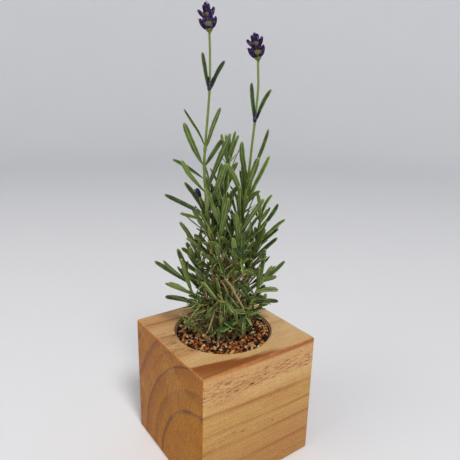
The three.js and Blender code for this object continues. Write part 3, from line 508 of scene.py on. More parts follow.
def wood_finish(props):
    """Softwood: a ring value from the distance to the pith, soft dark rings by that value, fibre streaks
    along X and faint marks across, resin dashes mostly in one ring, a granular end grain, worn edges, and a
    painted highlight that makes the top paler towards its right end."""
    made = Finish("pine_wood", Specular_IOR_Level=0.25)
    x, y, z = made.parts(made.place())
    warp = made.noise((0.008, 0.03, 0.03), detail=2.0)
    ripple = made.noise((0.02, 0.16, 0.16), detail=3.0)
    across = made.add(y, -PITH_Y)
    short = made.less(BOW_END, x)
    rise = made.times(made.less(made.add(z, -PITH_Z), made.times(short, short, PITH_BOW)), PITH_FLAT)
    radius = made.maths("SQRT", made.add(made.times(across, across), made.times(rise, rise)))
    radius = made.add(radius, made.times(made.less(warp, 0.5), 3.0), made.times(made.less(ripple, 0.5), 1.6))
    share = made.maths("DIVIDE", radius, RING_SPAN)
    uneven = made.band(made.noise((0.02, 0.05, 0.05), detail=2.0), 0.3, 0.65, 0.35, 1.0)
    late, late_end = (
        made.ramp(share, [stop for ring in RINGS for stop in (
            ((ring[0] - ring[k]) / RING_SPAN, 0.04), ((ring[0] - 0.6) / RING_SPAN, ring[k + 1]),
            ((ring[0] + 0.7) / RING_SPAN, 0.02))])
        for k in (1, 3))
    grit = made.noise((0.9, 0.9, 0.9), detail=1.5, rough=0.6)
    clouds = made.noise((0.03, 0.05, 0.05), detail=2.0)
    # the long faces: paler and creamier on top, with a pink cast in places; the top also has a painted
    # highlight that pales it towards its right end
    lines = made.band(made.noise((0.005, 0.7, 0.7), detail=4.0, rough=0.7), 0.25, 0.8)
    lower = made.blend(lines, PALE_WOOD, GOLD_WOOD)
    patches = made.noise((0.012, 0.05, 0.05), detail=3.0)
    upper = made.blend(made.add(made.times(lines, 0.5), made.band(patches, 0.35, 0.6, 0.0, 0.5)),
                       TOP_PALE, TOP_TAN)
    lower = made.layers(
        lower,
        (made.band(z, 60, 8, 0.0, 0.55), BROWN_WOOD),
        (made.band(z, 62, 84, 0.0, 0.4), CREAM_WOOD_AND_PAINTED_LIGHT))
    # painted highlight: cream painted over the top towards its right end, where the light falls brighter
    upper = made.blend(made.band(x, -8, 40, 0.0, 0.6), upper, CREAM_WOOD_AND_PAINTED_LIGHT)
    base = made.blend(made.band(radius, 99, 103), lower, upper)
    base = made.blend(made.times(made.band(radius, 76, 92), made.band(radius, 99.5, 98), 0.4), base,
                      PINK_WOOD)
    base = made.layers(
        base,
        (made.band(patches, 0.5, 0.75, 0.0, 0.4), PINK_WOOD),
        (made.band(grit, 0.48, 0.3, 0.0, 0.3), TOP_PALE),
        (made.times(late, uneven, 0.85), tuple(props.late_colour)))
    front = made.times(made.band(radius, 94.5, 98.2), made.band(radius, 99.3, 98.6), 0.85)
    base = made.blend(front, base, FRONT_BAND)
    rust = made.times(made.band(z, 97, 99.5), made.band(radius, 99.3, 98.6),
                      made.band(made.add(lines, made.times(patches, 0.8)), 0.6, 1.1, 0.25, 0.85))
    base = made.blend(rust, base, FRONT_RUST)
    fibre = made.noise((0.05, 1.8, 1.8), detail=3.0, rough=0.65)
    base = made.blend(made.band(fibre, 0.42, 0.72, 0.0, 0.35), base, STREAK)
    marks = made.noise((1.1, 0.07, 0.07), detail=2.0)
    base = made.layers(
        base,
        (made.band(marks, 0.44, 0.66, 0.0, 0.1), STREAK),
        (made.band(grit, 0.48, 0.7, 0.0, 0.22), STREAK))
    # short resin dashes, mostly within one ring
    dash = made.noise((0.15, 1.5, 1.5), detail=1.0, rough=0.4)
    window = made.times(made.band(radius, 79, 82), made.band(radius, 93, 89))
    extra = made.times(made.band(radius, 103, 106), made.band(radius, 126, 118), made.band(x, -5, -25), 0.85)
    rare = made.band(made.noise((0.02, 0.08, 0.08), detail=1.0), 0.55, 0.7, 0.0, 0.6)
    window = made.maths("MAXIMUM", made.maths("MAXIMUM", window, extra), rare)
    dashes = made.times(made.band(dash, 0.585, 0.625), window)
    base = made.blend(made.times(dashes, 0.9), base, RESIN)
    # the end grain, on faces that look along X: golden low down, purple-brown above, with dark pores
    facing = made.parts(made.node("ShaderNodeNewGeometry").outputs["Normal"])[0]
    end = made.band(made.maths("ABSOLUTE", facing), 0.6, 0.9)
    purple = made.band(made.add(radius, made.times(made.less(clouds, 0.5), 60.0)), 66, 112)
    end_colour = made.blend(purple, END_GOLD, END_PURPLE)
    halo = made.times(made.band(radius, 86, 98), made.band(radius, 99.3, 98.6), 0.35)
    end_colour = made.blend(made.maths("MAXIMUM", late_end, halo), end_colour, END_RING)
    upright = made.noise((0.9, 0.9, 0.12), detail=3.0)
    pale = made.blend(purple, END_LOW_PALE, END_PALE)
    end_colour = made.layers(
        end_colour,
        (made.band(clouds, 0.5, 0.68, 0.0, 0.4), pale),
        (made.band(upright, 0.45, 0.66, 0.0, 0.4), END_PORE),
        (made.band(grit, 0.46, 0.66, 0.0, 0.5), END_PORE),
        (made.band(grit, 0.46, 0.3, 0.0, 0.4), END_FLECK))
    base = made.blend(end, base, end_colour)
    # edges: rubbed to a warmer tone
    patchy = made.noise((0.25, 0.25, 0.25), detail=3.0)
    worn = made.times(made.value("wear")[0], made.band(patchy, 0.3, 0.7, 0.1, 0.65))
    made.colour(made.blend(worn, base, RUBBED))
    made.rough(made.band(made.add(fibre, made.times(late, 0.4)), 0.2, 1.2, 0.62, 0.46))
    relief = made.add(fibre, made.times(grit, made.add(end, 0.4)))
    made.bump(made.less(relief, made.times(dashes, 0.8)), 0.15, 0.6)
    return made.material


def block_points(rounding):
    """Rings round the z axis, from the underside's middle over the side, the top and the bore to the
    middle of its floor. An outer ring is a square with round corners, set in by a rolling ball's path;
    an inner one is a circle; each ring's points keep their direction from the axis."""
    half = BLOCK / 2
    flat = np.linspace(-1, 1, 22)
    corner = np.linspace(0, math.pi / 2, 7)

    def square(inset, radius):
        reach = half - inset
        straight = reach - radius
        side = np.stack([np.full(len(flat), reach), flat * straight], -1)
        bend = np.stack([straight + radius * np.cos(corner), straight + radius * np.sin(corner)], -1)
        quarter = np.concatenate([side, bend[1:-1]])
        turns = [np.array([[math.cos(a), math.sin(a)], [-math.sin(a), math.cos(a)]])
                 for a in np.arange(4) * math.pi / 2]
        return np.concatenate([quarter @ turn for turn in turns])

    outer = square(0, rounding)
    heading = unit(outer)
    angles = np.linspace(0, math.pi / 2, 7)
    rings, wear = [], []

    def add(plan, height, worn=0.0):
        rings.append(np.column_stack([plan, np.full(len(plan), height)]))
        wear.append(np.full(len(plan), worn))

    def add_edge(angle, height):
        plan = square(rounding * (1 - math.sin(angle)), rounding * max(math.sin(angle), 0.05))
        add(plan, height, math.sin(2 * angle) ** 0.5 if 0 < angle < 1.57 else 0.0)

    support = rounding + 0.25
    inner_square = square(support, 0.05)
    for share in (0.02, 0.6):
        add(inner_square * share, 0.0)
    add(inner_square, 0.0)
    for angle in angles:
        add_edge(angle, rounding * (1 - math.cos(angle)))
    for height in np.linspace(rounding + 0.3, BLOCK - rounding - 0.3, 12):
        add(outer, height)
    for angle in angles[::-1]:
        add_edge(angle, BLOCK - rounding * (1 - math.cos(angle)))
    add(inner_square, BLOCK)
    lip = 0.5
    for share in (0.15, 0.4, 0.65, 0.85):
        circle = heading * (BORE_RADIUS + lip + 0.3)
        add(mix(inner_square, circle, share), BLOCK)
    add(heading * (BORE_RADIUS + lip + 0.3), BLOCK)
    for angle in np.linspace(0, math.pi / 2, 5):
        add(heading * (BORE_RADIUS + lip * (1 - math.sin(angle))), BLOCK - lip * (1 - math.cos(angle)), 0.35)
    for height in (BLOCK - 1, 80.0, 50.0, BORE_FLOOR + 0.3, BORE_FLOOR):
        add(heading * BORE_RADIUS, height)
    for share in (0.99, 0.5, 0.01):
        add(heading * BORE_RADIUS * share, BORE_FLOOR)
    return np.array(rings), np.array(wear)


def build_block(props):
    rings, wear = block_points(props.rounding / MM)
    shape = Shape()
    shape.tubes(rings[None], wear=marked(rings, wear)[None])
    block = shape.build("oiled_block")
    finish_piece(block, wood_finish(props), "pine", "wood_block")


# ---------- liner and potting mix ----------
def turned(profile, columns):
    """Rings of a profile of (radius, height) turned about the z axis, counter-clockwise."""
    angle = around(columns)
    radius, height = np.array(profile).T
    return np.stack([radius[:, None] * np.cos(angle), radius[:, None] * np.sin(angle),
                     np.repeat(height[:, None], columns, 1)], -1)


def build_liner(props):
    """A cup turned about z: up its outside, over a rounded rim, and down its inside to the floor."""
    outer, inner = LINER_RADIUS, LINER_RADIUS - LINER_WALL
    foot, floor = BORE_FLOOR + FIT, BORE_FLOOR + FIT + 1
    rim = [((outer + inner) / 2 + math.cos(a) * LINER_WALL / 2, LINER_RIM - 0.4 + math.sin(a) * 0.4)
           for a in np.linspace(0, math.pi, 7)]
    profile = [(0.05, foot), (outer - 1, foot), (outer, foot + 1), (outer, foot + 2), (outer, 60.0), *rim,
               (inner, 60.0), (inner, floor + 2), (inner, floor + 1), (inner - 1, floor), (0.05, floor)]
    shape = Shape()
    shape.tubes(turned(profile, 96)[None])
    liner = shape.build("liner_cup")
    made = Finish("liner_plastic", IOR=1.49)
    cloud = made.noise((0.06, 0.06, 0.3), detail=4.0)
    dust = made.noise((0.9, 0.9, 0.9), detail=3.0, rough=0.7)
    colour = made.ramp(cloud, [(0.3, tuple(props.liner_colour)), (0.75, linear(120, 92, 58))])
    made.colour(made.blend(made.band(dust, 0.55, 0.75, 0.0, 0.45), colour, linear(70, 46, 28)))
    made.rough(made.band(dust, 0.3, 0.7, 0.5, 0.75))
    made.bump(cloud, 0.1, 0.4)
    finish_piece(liner, made.material, "liner", "liner")


MIX_SEED = 97
BED_DROP = 1.5               # the bed lies this far under the mix's mean height
GOLDEN_TURN = 2.39996        # radians from one chip of the spiral to the next
HEAP_WAY = (0.95, 0.4)       # the side on which the chips are heaped, and how high
HEAP_RISE = 2.4


def build_mix(props):
    """The bed is a disc whose top is a net of waves, and on it lie bark chips: small closed solids of
    five-sided rings, stretched, squared off and turned at random, spread on a sunflower spiral."""
    rng = np.random.default_rng(MIX_SEED)
    columns, rows = 72, 26
    reach = np.linspace(0.02, 1, rows) * MIX_RADIUS
    angle = around(columns)
    bed = np.stack([reach[:, None] * np.cos(angle), reach[:, None] * np.sin(angle),
                    np.full((rows, columns), MIX_TOP - BED_DROP)], -1)
    bed[..., 2] += (0.35 * np.sin(bed[..., 0] * 0.8) * np.cos(bed[..., 1] * 0.9)
                    + rng.uniform(-0.35, 0.35, (rows, columns)))
    wall = turned([(MIX_RADIUS, MIX_TOP - 3), (MIX_RADIUS, MIX_FLOOR), (0.1, MIX_FLOOR)], columns)
    shape = Shape()
    shape.tubes(np.concatenate([bed, wall])[::-1][None])
    bed_piece = shape.build("mix_bed", smooth_faces=False)
    made = Finish("mix_bed_soil_and_shade")
    crumbs = made.noise((0.8, 0.8, 0.8), detail=5.0, rough=0.7)
    # painted shade: the bed is near black, dark soil with painted shade for the gaps between the chips
    made.colour(made.ramp(crumbs, [(0.3, linear(5, 3, 2)), (0.55, linear(14, 8, 5)),
                                   (0.75, linear(48, 26, 13))]))
    made.rough(made.band(crumbs, 0.3, 0.7, 0.95, 0.75))
    made.bump(crumbs, 0.8, 0.8)
    finish_piece(bed_piece, made.material, "mix", "potting_mix")

    count = props.chips
    index = np.arange(count)
    spiral = np.sqrt((index + 0.5) / count) * (MIX_RADIUS - 0.9)
    turn = index * GOLDEN_TURN
    spot = np.stack([spiral * np.cos(turn), spiral * np.sin(turn)], -1) + rng.normal(0, 0.45, (count, 2))
    far = np.linalg.norm(spot, axis=1, keepdims=True)
    spot *= np.minimum(1, (MIX_RADIUS - 0.8) / np.maximum(far, 1e-6))
    long = rng.uniform(0.8, 1.9, count) * (1 + 0.4 * (rng.random(count) > 0.9))
    sizes = np.stack([long, long * rng.uniform(0.42, 0.8, count), long * rng.uniform(0.24, 0.5, count)], -1)
    latitude = np.radians([-64, -22, 24, 62])
    longitude = np.arange(5) * 2 * math.pi / 5
    level = np.cos(latitude)[:, None]
    ball = np.stack([level * np.cos(longitude), level * np.sin(longitude),
                     np.repeat(np.sin(latitude)[:, None], 5, 1)], -1)
    chips = ball * (1 + rng.uniform(-0.32, 0.32, (count, 4, 5, 1)))
    chips /= np.max(np.abs(chips), axis=-1, keepdims=True) ** 0.55
    chips *= sizes[:, None, None, :]
    spin = rng.uniform(0, 2 * math.pi, count)
    tip, roll = rng.normal(0, 0.62, count), rng.normal(0, 0.62, count)
    turns = axis_turn(spin, 2) @ axis_turn(tip, 1) @ axis_turn(roll, 0)
    chips = np.einsum("nij,nrcj->nrci", turns, chips)
    heap = np.clip((far[:, 0] - 22) / 10, 0, 1) * np.clip(0.5 + (spot @ HEAP_WAY) / 40, 0, 1)
    height = MIX_TOP - 0.85 + rng.uniform(-1.0, 0.95, count) - 0.25 * (far[:, 0] < 12) + HEAP_RISE * heap
    chips += np.concatenate([spot, height[:, None]], 1)[:, None, None, :]
    reach = np.linalg.norm(chips[..., :2], axis=-1, keepdims=True)
    chips[..., :2] *= np.minimum(1, (LINER_RADIUS - LINER_WALL - 0.1) / reach)
    chips[..., 2] = np.minimum(chips[..., 2], LINER_RIM + 0.4)
    kinds, shades = rng.random((2, count, 1, 1))
    shape = Shape()
    shape.tubes(chips, tone=marked(np.zeros((count, 1, 1, 3)), kinds, shades))
    piece = shape.build("bark_chips", smooth_faces=False)
    made = Finish("bark_chip", Specular_IOR_Level=0.25)
    kind, shade, _ = made.value("tone")
    # the near-black chips are partly dark bark and partly painted shade, standing in for dark gaps between
    # the chips
    colour = made.ramp(kind, [(0.0, linear(16, 7, 4)), (0.26, linear(86, 38, 15)),
                              (0.38, linear(176, 90, 38)),
                              (0.5, linear(216, 126, 56)), (0.62, linear(116, 50, 18)),
                              (0.7, linear(244, 174, 94)), (0.82, linear(255, 216, 150)),
                              (0.94, linear(255, 244, 204))], "CONSTANT")
    grain = made.noise((0.9, 1.6, 1.6), detail=4.0, rough=0.65)
    colour = made.layers(
        colour,
        (made.band(grain, 0.35, 0.7, 0.55, 0.0), linear(52, 28, 16)),
        (made.times(shade, 0.2), linear(84, 42, 18)))
    made.colour(colour)
    made.rough(made.band(grain, 0.3, 0.7, 0.85, 0.55))
    made.bump(grain, 0.35, 0.6)
    finish_piece(piece, made.material, "mix")


def axis_turn(angle, axis):
    """Turns about one axis, one 3 by 3 matrix for each angle."""
    cosine, sine = np.cos(angle), np.sin(angle)
    turn = np.zeros((len(angle), 3, 3))
    a, b = (axis + 1) % 3, (axis + 2) % 3
    turn[:, axis, axis] = 1
    turn[:, a, a] = turn[:, b, b] = cosine
    turn[:, a, b], turn[:, b, a] = -sine, sine
    return turn


# ---------- stems ----------
def curve(path, steps):
    """Points of a smooth curve through the given points: a cubic between each two, whose slope at a
    point is half the step between its neighbours. The ends are carried straight on."""
    path = np.array(path, float)
    path = np.vstack([2 * path[0] - path[1], path, 2 * path[-1] - path[-2]])
    place = np.linspace(0, 1, steps + 1) * (len(path) - 3)
    k = np.minimum(place.astype(int), len(path) - 4)
    t = (place - k)[:, None]
    p0, p1, p2, p3 = path[k], path[k + 1], path[k + 2], path[k + 3]
    first, last = 0.5 * (p2 - p0), 0.5 * (p3 - p1)
    square, cube = -3 * p1 + 3 * p2 - 2 * first - last, 2 * p1 - 2 * p2 + first + last
    return p1 + first * t + square * t * t + cube * t ** 3


def sideways(way):
    """Two directions square to each way; the first lies as near to +u as it can."""
    first = unit(np.array([1.0, 0, 0]) - way * way[..., :1])
    return first, np.cross(way, first)


class Stem:
    """The CAD source's stem: straight lengths between points of a curve."""

    def __init__(self, path, radius, lengths):
        self.path, self.radius, self.last = path, radius, lengths
        self.points = curve(path, lengths)
        steps = np.linalg.norm(np.diff(self.points, axis=0), axis=1)
        self.lengths = np.concatenate([[0], np.cumsum(steps)])

    def on(self, places, value):
        k = 0
        while k < self.last - 1 and places[k + 1] <= value:
            k += 1
        step = self.points[k + 1] - self.points[k]
        return self.points[k] + step * (value - places[k]) / (places[k + 1] - places[k]), unit(step)

    def at_share(self, share):
        return self.on(self.lengths, share * self.lengths[-1])

    def at_height(self, height):
        return self.on(self.points[:, 2], height)

    def rods(self):
        middle = (np.arange(self.last) + 0.5) / self.last
        radius = mix(self.radius[0], self.radius[1], middle)
        return self.points[:-1], self.points[1:], radius, np.zeros(self.last, bool)


def along(points):
    """The way onward at each point of a line, and two directions square to it."""
    way = unit(np.gradient(points, axis=0))
    return way, *sideways(way)


def stalk_rings(path, radius, steps, nodes=(), swell=0.3, corner=0.74, columns=8):
    """A section carried along a curve, swelling at each node by a bell-shaped hump along its length.
    With eight columns it is a rounded square, its corners at the radius and its flats at a share of it;
    with any other number it is round."""
    points = curve(path, steps)
    _, e1, e2 = along(points)
    run = np.concatenate([[0], np.cumsum(np.linalg.norm(np.diff(points, axis=0), axis=1))])
    share = run / run[-1]
    size = mix(radius[0], radius[1], share)
    for node in nodes:
        size = size * (1 + swell * np.exp(-((run - node * run[-1]) / 1.3) ** 2))
    angle = around(columns)
    shape = np.where(np.arange(columns) % 2 == 1, 1.0, corner) if columns == 8 else np.ones(columns)
    ring = size[:, None] * shape
    rings = (points[:, None] + (ring * np.cos(angle))[..., None] * e1[:, None]
             + (ring * np.sin(angle))[..., None] * e2[:, None])
    return rings, share


# ---------- leaves ----------
# One leaf is a row: root 3, way 3, azimuth, spread, bend, length, width, twist. It leaves the stem at
# `spread` from the stem's way on the side `azimuth`, and turns by `bend` along its length.
ROOT, WAY = slice(0, 3), slice(3, 6)
AZIMUTH, SPREAD, BEND, LENGTH, WIDTH, TWIST = range(6, 12)


def leaf_lines(rows, stations):
    """Points, side and face of leaves (leaves, stations, 3): the centre line is an arc, and the blade
    turns about it by its twist, most of it near the root."""
    rows = np.atleast_2d(rows)
    way = rows[:, WAY]
    e1, e2 = sideways(way)
    azimuth, spread, bend, length, twist = (rows[:, i:i + 1] for i in (AZIMUTH, SPREAD, BEND, LENGTH, TWIST))
    out = e1 * np.cos(azimuth) + e2 * np.sin(azimuth)
    bend = np.where(np.abs(bend) > 1e-3, bend, 1e-3)
    angle = spread + bend * stations
    forth = length * (np.sin(angle) - np.sin(spread)) / bend
    aside = length * (np.cos(spread) - np.cos(angle)) / bend
    way, out = way[:, None], out[:, None]
    points = rows[:, None, ROOT] + forth[..., None] * way + aside[..., None] * out
    onward = np.cos(angle)[..., None] * way + np.sin(angle)[..., None] * out
    across = np.cross(way, out)
    inner = np.cross(onward, across)
    turn = (twist * (1 - (1 - stations) ** 3))[..., None]
    side = across * np.cos(turn) + inner * np.sin(turn)
    return points, side, np.cross(onward, side)


def leaf_rods(row):
    """Rounded rods that cover the blade, two beside each other along its length."""
    points, side, _ = leaf_lines(row, LEAF_STATIONS)
    width = row[WIDTH]
    starts, ends = [], []
    for sign in (-1, 1):
        line = points[0] + side[0] * (sign * ROD_OFFSETS * width)[:, None]
        starts.append(line[:-1])
        ends.append(line[1:])
    return (np.concatenate(starts), np.concatenate(ends), np.tile(ROD_RADII * width, 2),
            np.tile([False, True, True], 2))


def distances(p1, q1, p2, q2):
    """Least distances between straight lengths, pair by pair."""
    d1, d2, r = q1 - p1, q2 - p2, p1 - p2
    a, e, f, c, b = ((m * n).sum(-1) for m, n in ((d1, d1), (d2, d2), (d2, r), (d1, r), (d1, d2)))
    den = a * e - b * b
    s = np.where(den > 1e-9, np.clip((b * f - c * e) / np.where(den > 1e-9, den, 1), 0, 1), 0)
    t = (b * s + f) / e
    s = np.where(t < 0, np.clip(-c / a, 0, 1), np.where(t > 1, np.clip((b - c) / a, 0, 1), s))
    return np.linalg.norm(r + d1 * s[..., None] - d2 * np.clip(t, 0, 1)[..., None], axis=-1)


class Clearance:
    """The rods that stand so far, and whether new ones clear them."""

    def __init__(self):
        room = 12000
        self.start, self.end, self.middle = (np.zeros((room, 3)) for _ in range(3))
        self.radius, self.reach = np.zeros(room), np.zeros(room)
        self.owner, self.outer, self.count = np.zeros(room, int), np.zeros(room, bool), 0

    def add(self, owner, rods):
        start, end, radius, outer = rods
        here = slice(self.count, self.count + len(start))
        self.start[here], self.end[here], self.middle[here] = start, end, (start + end) / 2
        self.radius[here], self.outer[here], self.owner[here] = radius, outer, owner
        self.reach[here] = np.linalg.norm(end - start, axis=1) / 2 + radius
        self.count += len(start)

    def clear(self, owner, rods, gap=LEAF_GAP):
        """Leaves of one shoot may touch near their roots only, and need no air further out."""
        start, end, radius, outer = rods
        n = self.count
        middle = (start + end) / 2
        reach = np.linalg.norm(end - start, axis=1) / 2 + radius
        own = self.owner[:n] == owner
        air = np.where(own, 0.0, gap)
        apart = np.linalg.norm(self.middle[None, :n] - middle[:, None], axis=2)
        near = apart < reach[:, None] + self.reach[:n] + air
        near &= ~own | (outer[:, None] & self.outer[:n])
        i, j = np.nonzero(near)
        if len(i) == 0:
            return True
        gaps = distances(start[i], end[i], self.start[j], self.end[j])
        return bool((gaps >= radius[i] + self.radius[j] + air[j]).all())


def above_floor(row):
    """True if the leaf hangs over the mix, or over the wood where it reaches that far."""
    points, side, _ = leaf_lines(row, LEAF_STATIONS)
    floor = np.where(np.hypot(points[0, :, 0], points[0, :, 1]) < FLOOR_REACH, FLOOR_IN, FLOOR_OUT)
    return bool((points[0, :, 2] - np.abs(side[0, :, 2]) * row[WIDTH] / 2 - 0.4 >= floor).all())


def place(row, owner, space, tries=TRIES, gap=LEAF_GAP):
    """The leaf, or the first of its variants that clears the rest; None if there is no room."""
    for turn, lean, share in tries:
        variant = row.copy()
        variant[AZIMUTH] += math.radians(turn)
        variant[SPREAD] += math.radians(lean)
        variant[LENGTH] *= share
        rods = leaf_rods(variant)
        if above_floor(variant) and space.clear(owner, rods, gap):
            space.add(owner, rods)
            return variant
    return None


def leaf_to_tip(stem, tip):
    """A leaf from its height on the stem to a measured tip."""
    height, *target, bend, width = tip
    root, way = stem.at_height(height)
    e1, e2 = sideways(way)
    reach = np.array(target, float) - root
    bend, chord = math.radians(bend), float(np.linalg.norm(reach))
    spread = math.atan2(math.hypot(reach @ e1, reach @ e2), reach @ way) - bend / 2
    azimuth = math.atan2(reach @ e2, reach @ e1)
    length = chord if bend == 0 else chord * (bend / 2) / math.sin(bend / 2)
    twist = math.radians(50) * math.cos(azimuth) * (1 if math.sin(azimuth) > 0 else -1)
    return np.array([*root, *way, azimuth, spread, bend, length, width, twist])


def leaf_row(foot, azimuth, spread, bend, length, width, twist=0.0):
    """One leaf's row from its root and way, with its angles given in degrees."""
    angles = [math.radians(angle) for angle in (azimuth, spread, bend)]
    return np.array([*foot[0], *foot[1], *angles, length, width, math.radians(twist)])


def pair_place(rule, k):
    """How far along its stem the pair at step `k` stands; the pairs draw together towards the top."""
    pairs, low, high = rule[:3]
    return low + (high - low) * (k / (pairs - 1)) ** 0.85


def leaf_by_rule(stem, rule, k, side, draws):
    """One leaf of the pair at step `k` of a shoot's rule."""
    pairs, _, _, first, turn, l0, l1, s0, s1, b0, b1, width = rule
    t = k / (pairs - 1)
    j = [draws.next() for _ in range(5)]
    return leaf_row(stem.at_share(pair_place(rule, k)), first + turn * k + 180 * side + 12 * j[0],
                    mix(s0, s1, t) + 6 * j[1], mix(b0, b1, t) + 10 * j[2],
                    mix(l0, l1, t) * (1 + 0.1 * j[3]), width, 60 * j[4])


# What a grown leaf is: one of the CAD source's, a young one, a withered one, or a thin dry stalk.
GROWN, YOUNG, DRY_LEAF, DRY_STALK = range(4)


def grow_leaves(stems, space):
    """Every leaf of the CAD source: those with measured tips first, then the pairs, one step of every
    shoot at a time. Each comes as its shoot's number, its row, its kind, and whether it was measured. A
    measured one takes the room that its solid found, but is drawn to its tip."""
    leaves = []

    def keep(row, owner, measured=False):
        placed = place(row, owner, space)
        if placed is not None:
            leaves.append((owner, row if measured else placed, GROWN, measured))

    for i, shoot in enumerate(SHOOTS):
        for tip in shoot[4]:
            keep(leaf_to_tip(stems[i], tip), i, True)
    draws = [Draws(i + 1) for i in range(len(SHOOTS))]
    for k in range(max(shoot[3][0] for shoot in SHOOTS)):
        for i, shoot in enumerate(SHOOTS):
            if k < shoot[3][0]:
                for side in (0, 1):
                    keep(leaf_by_rule(stems[i], shoot[3], k, side, draws[i]), i)
    return leaves


# Finer growth that only the looks have. Leaves that run to a measured tip: the shoot and its tips.
FRONT_TIPS = [
    ("shoot_low_right", [[126, 10.5, -14, 143.3, 16, 4.2], [131, 14.3, -12, 144.6, 14, 3.8],
                         [143.5, 16, -13, 154.4, 44, 3.8]]),
    ("shoot_tall_right", [[157, 15.2, -4, 171, 24, 3.6]]),
    ("shoot_centre_front", [[157, 0.2, -20, 151.2, 44, 4.6], [167, -10, -17, 176, 64, 4.6],
                            [160, -11.8, -18, 151.3, 34, 4]]),
    ("shoot_centre_right", [[155, 0.6, -20, 150.4, 50, 3.8]]),
    ("shoot_front_left", [[134, -26, -23, 131, 30, 3.6], [146, -20, -24, 138, 34, 3.8]]),
    ("shoot_front_right", [[122.4, 11.3, -26, 118, 34, 3.8], [118, 15.4, -26, 110, 34, 3.4]]),
]
# Short side shoots: the shoot each grows from, its path, and its tips.
SPRIG_RADIUS, SPRIG_LENGTHS = (0.7, 0.5), 4
SPRIGS = [
    ("shoot_front_middle", [[2, -17.9, 131], [1.4, -21, 132], [-1.2, -23.8, 133.6], [-3.8, -24.6, 135]],
     [[134.9, -12.3, -26.5, 121.5, 12, 4.8], [134, -2.3, -26.8, 119, 8, 3.8],
      [134.8, -15.5, -26, 149.4, 8, 4], [133.9, -5, -26.5, 152.3, -8, 1.9],
      [132.5, 6, -27, 125.4, 10, 2.8], [132.8, 0.8, -27.4, 123, 8, 2.8]]),
    ("shoot_front_middle", [[2, -15.2, 113.5], [1, -19, 116.5], [-0.6, -23.2, 120.5]],
     [[120.4, 8.4, -26.5, 113.9, 36, 4.0], [116, -8.8, -26.5, 107.4, 24, 3.8],
      [118, -2.6, -27, 106.8, 34, 3]]),
    ("shoot_front_right", [[12.6, -16, 111.5], [11, -20, 114.5], [9.8, -23, 118.4]],
     [[117.5, -1.4, -27.5, 112.2, 14, 4.4], [118, 8, -26, 129, 10, 3.2]]),
    ("shoot_front_left", [[-11, -16, 127], [-14, -19, 128.5], [-18, -21.6, 129.5]],
     [[129, -27, -24, 136, 10, 3.6], [129.2, -23, -25, 121, 16, 3.8], [129.3, -17.5, -25, 139, -8, 3],
      [128.8, -30, -22, 127, 14, 3.2]]),
    ("shoot_centre_right", [[9.3, -9, 156], [11, -13, 159], [12.5, -16, 163]],
     [[162.5, 5, -19, 176, 12, 3.4], [162, 21, -19, 178, 12, 3.4], [161.6, 14, -21, 153, 30, 3.6],
      [162.4, 13, -19, 182, 4, 2.8]]),
]
# Broken dry stubs between the leaves: foot, tip, radius.
STUBS = [
    ([-2, -23.2, 149.7], [3.2, -25.4, 141.2], 0.5), ([0.5, -21.6, 150.4], [8.7, -25.6, 142.2], 0.8),
    ([16.2, -15, 152], [7.2, -18, 146.4], 0.6), ([16.4, -14, 154.6], [8.6, -17, 147], 0.5),
    ([-6.3, -22.5, 124.6], [-10.2, -26.2, 111.6], 0.8), ([-13.4, -13, 121], [-29, -15, 121.9], 0.45),
    ([-13.8, -14, 122.4], [-21.3, -18, 119], 0.55), ([-20.2, -12, 123.3], [-23.4, -13, 127.6], 0.5),
]
# Withered leaves and dry stalks of each shoot, the most stalks in the middle and in front, and the
# height above which none starts.
WITHERED, WISPS, INNER_WISPS = 16, 6, 22
WISP_TOP = 162
DIVERGENCE = 137.5           # degrees from one withered leaf to the next
FINE_GAP, DRY_GAP = 0.15, 0.05
TIP_SHARE = 0.985            # where along its stem a shoot's tuft stands
# The tuft: lean of each ring of leaves from the stem, length, width.
TUFT = [(30, 15, 2.6), (20, 12, 2.2), (11, 9, 1.8), (4, 6, 1.5)]
FINE_TRIES = [(0, 0, 1), (24, 0, 1), (-24, 0, 1), (0, -10, 0.8), (40, 8, 0.8), (-40, 8, 0.8), (0, 0, 0.6)]


def grow_young(stems, sprigs, space):
    """Finer leaves that only the looks have: measured ones at the front, pairs in the axils of the
    rule's leaves, and an upright tuft at each leafy shoot's top."""
    leaves = []

    def keep(row, owner):
        placed = place(row, owner, space, FINE_TRIES, FINE_GAP)
        if placed is not None:
            leaves.append((owner, placed, YOUNG, False))

    measured = [(stems[SHOOT_NUMBER[name]], name, tips) for name, tips in FRONT_TIPS]
    measured += [(stem, name, tips) for stem, (name, _, tips) in zip(sprigs, SPRIGS)]
    for stem, name, tips in measured:
        for tip in tips:
            row = leaf_to_tip(stem, tip)
            space.add(SHOOT_NUMBER[name], leaf_rods(row))
            leaves.append((SHOOT_NUMBER[name], row, YOUNG, True))
    for i, (name, _, _, rule, _) in enumerate(SHOOTS):
        if "skirt" in name:
            continue
        draws = Draws(i + 301)
        pairs, _, _, first, turn, l0, l1, s0, s1, _, _, _ = rule
        for k in range(pairs):
            t = k / (pairs - 1)
            for side in (0, 1):
                for swing in (-38, 38):
                    j = [draws.next() for _ in range(6)]
                    foot = stems[i].at_share(min(pair_place(rule, k) + 0.006, TIP_SHARE))
                    keep(leaf_row(foot, first + turn * k + 180 * side + swing + 14 * j[0],
                                  mix(s0, s1, t) * 0.72 + 8 * j[1], 6 + 12 * j[2],
                                  mix(l0, l1, t) * (0.46 + 0.14 * j[3]), 2.1 + 0.4 * j[4], 50 * j[5]), i)
        if name.startswith("flowering"):
            continue
        for ring, (lean, length, width) in enumerate(TUFT):
            for side in (0, 1):
                j = [draws.next() for _ in range(3)]
                keep(leaf_row(stems[i].at_share(TIP_SHARE), 90 * ring + 180 * side + 40 + 10 * j[0],
                              lean + 4 * j[1], 4, length * (1 + 0.15 * j[2]), width), i)
    return leaves


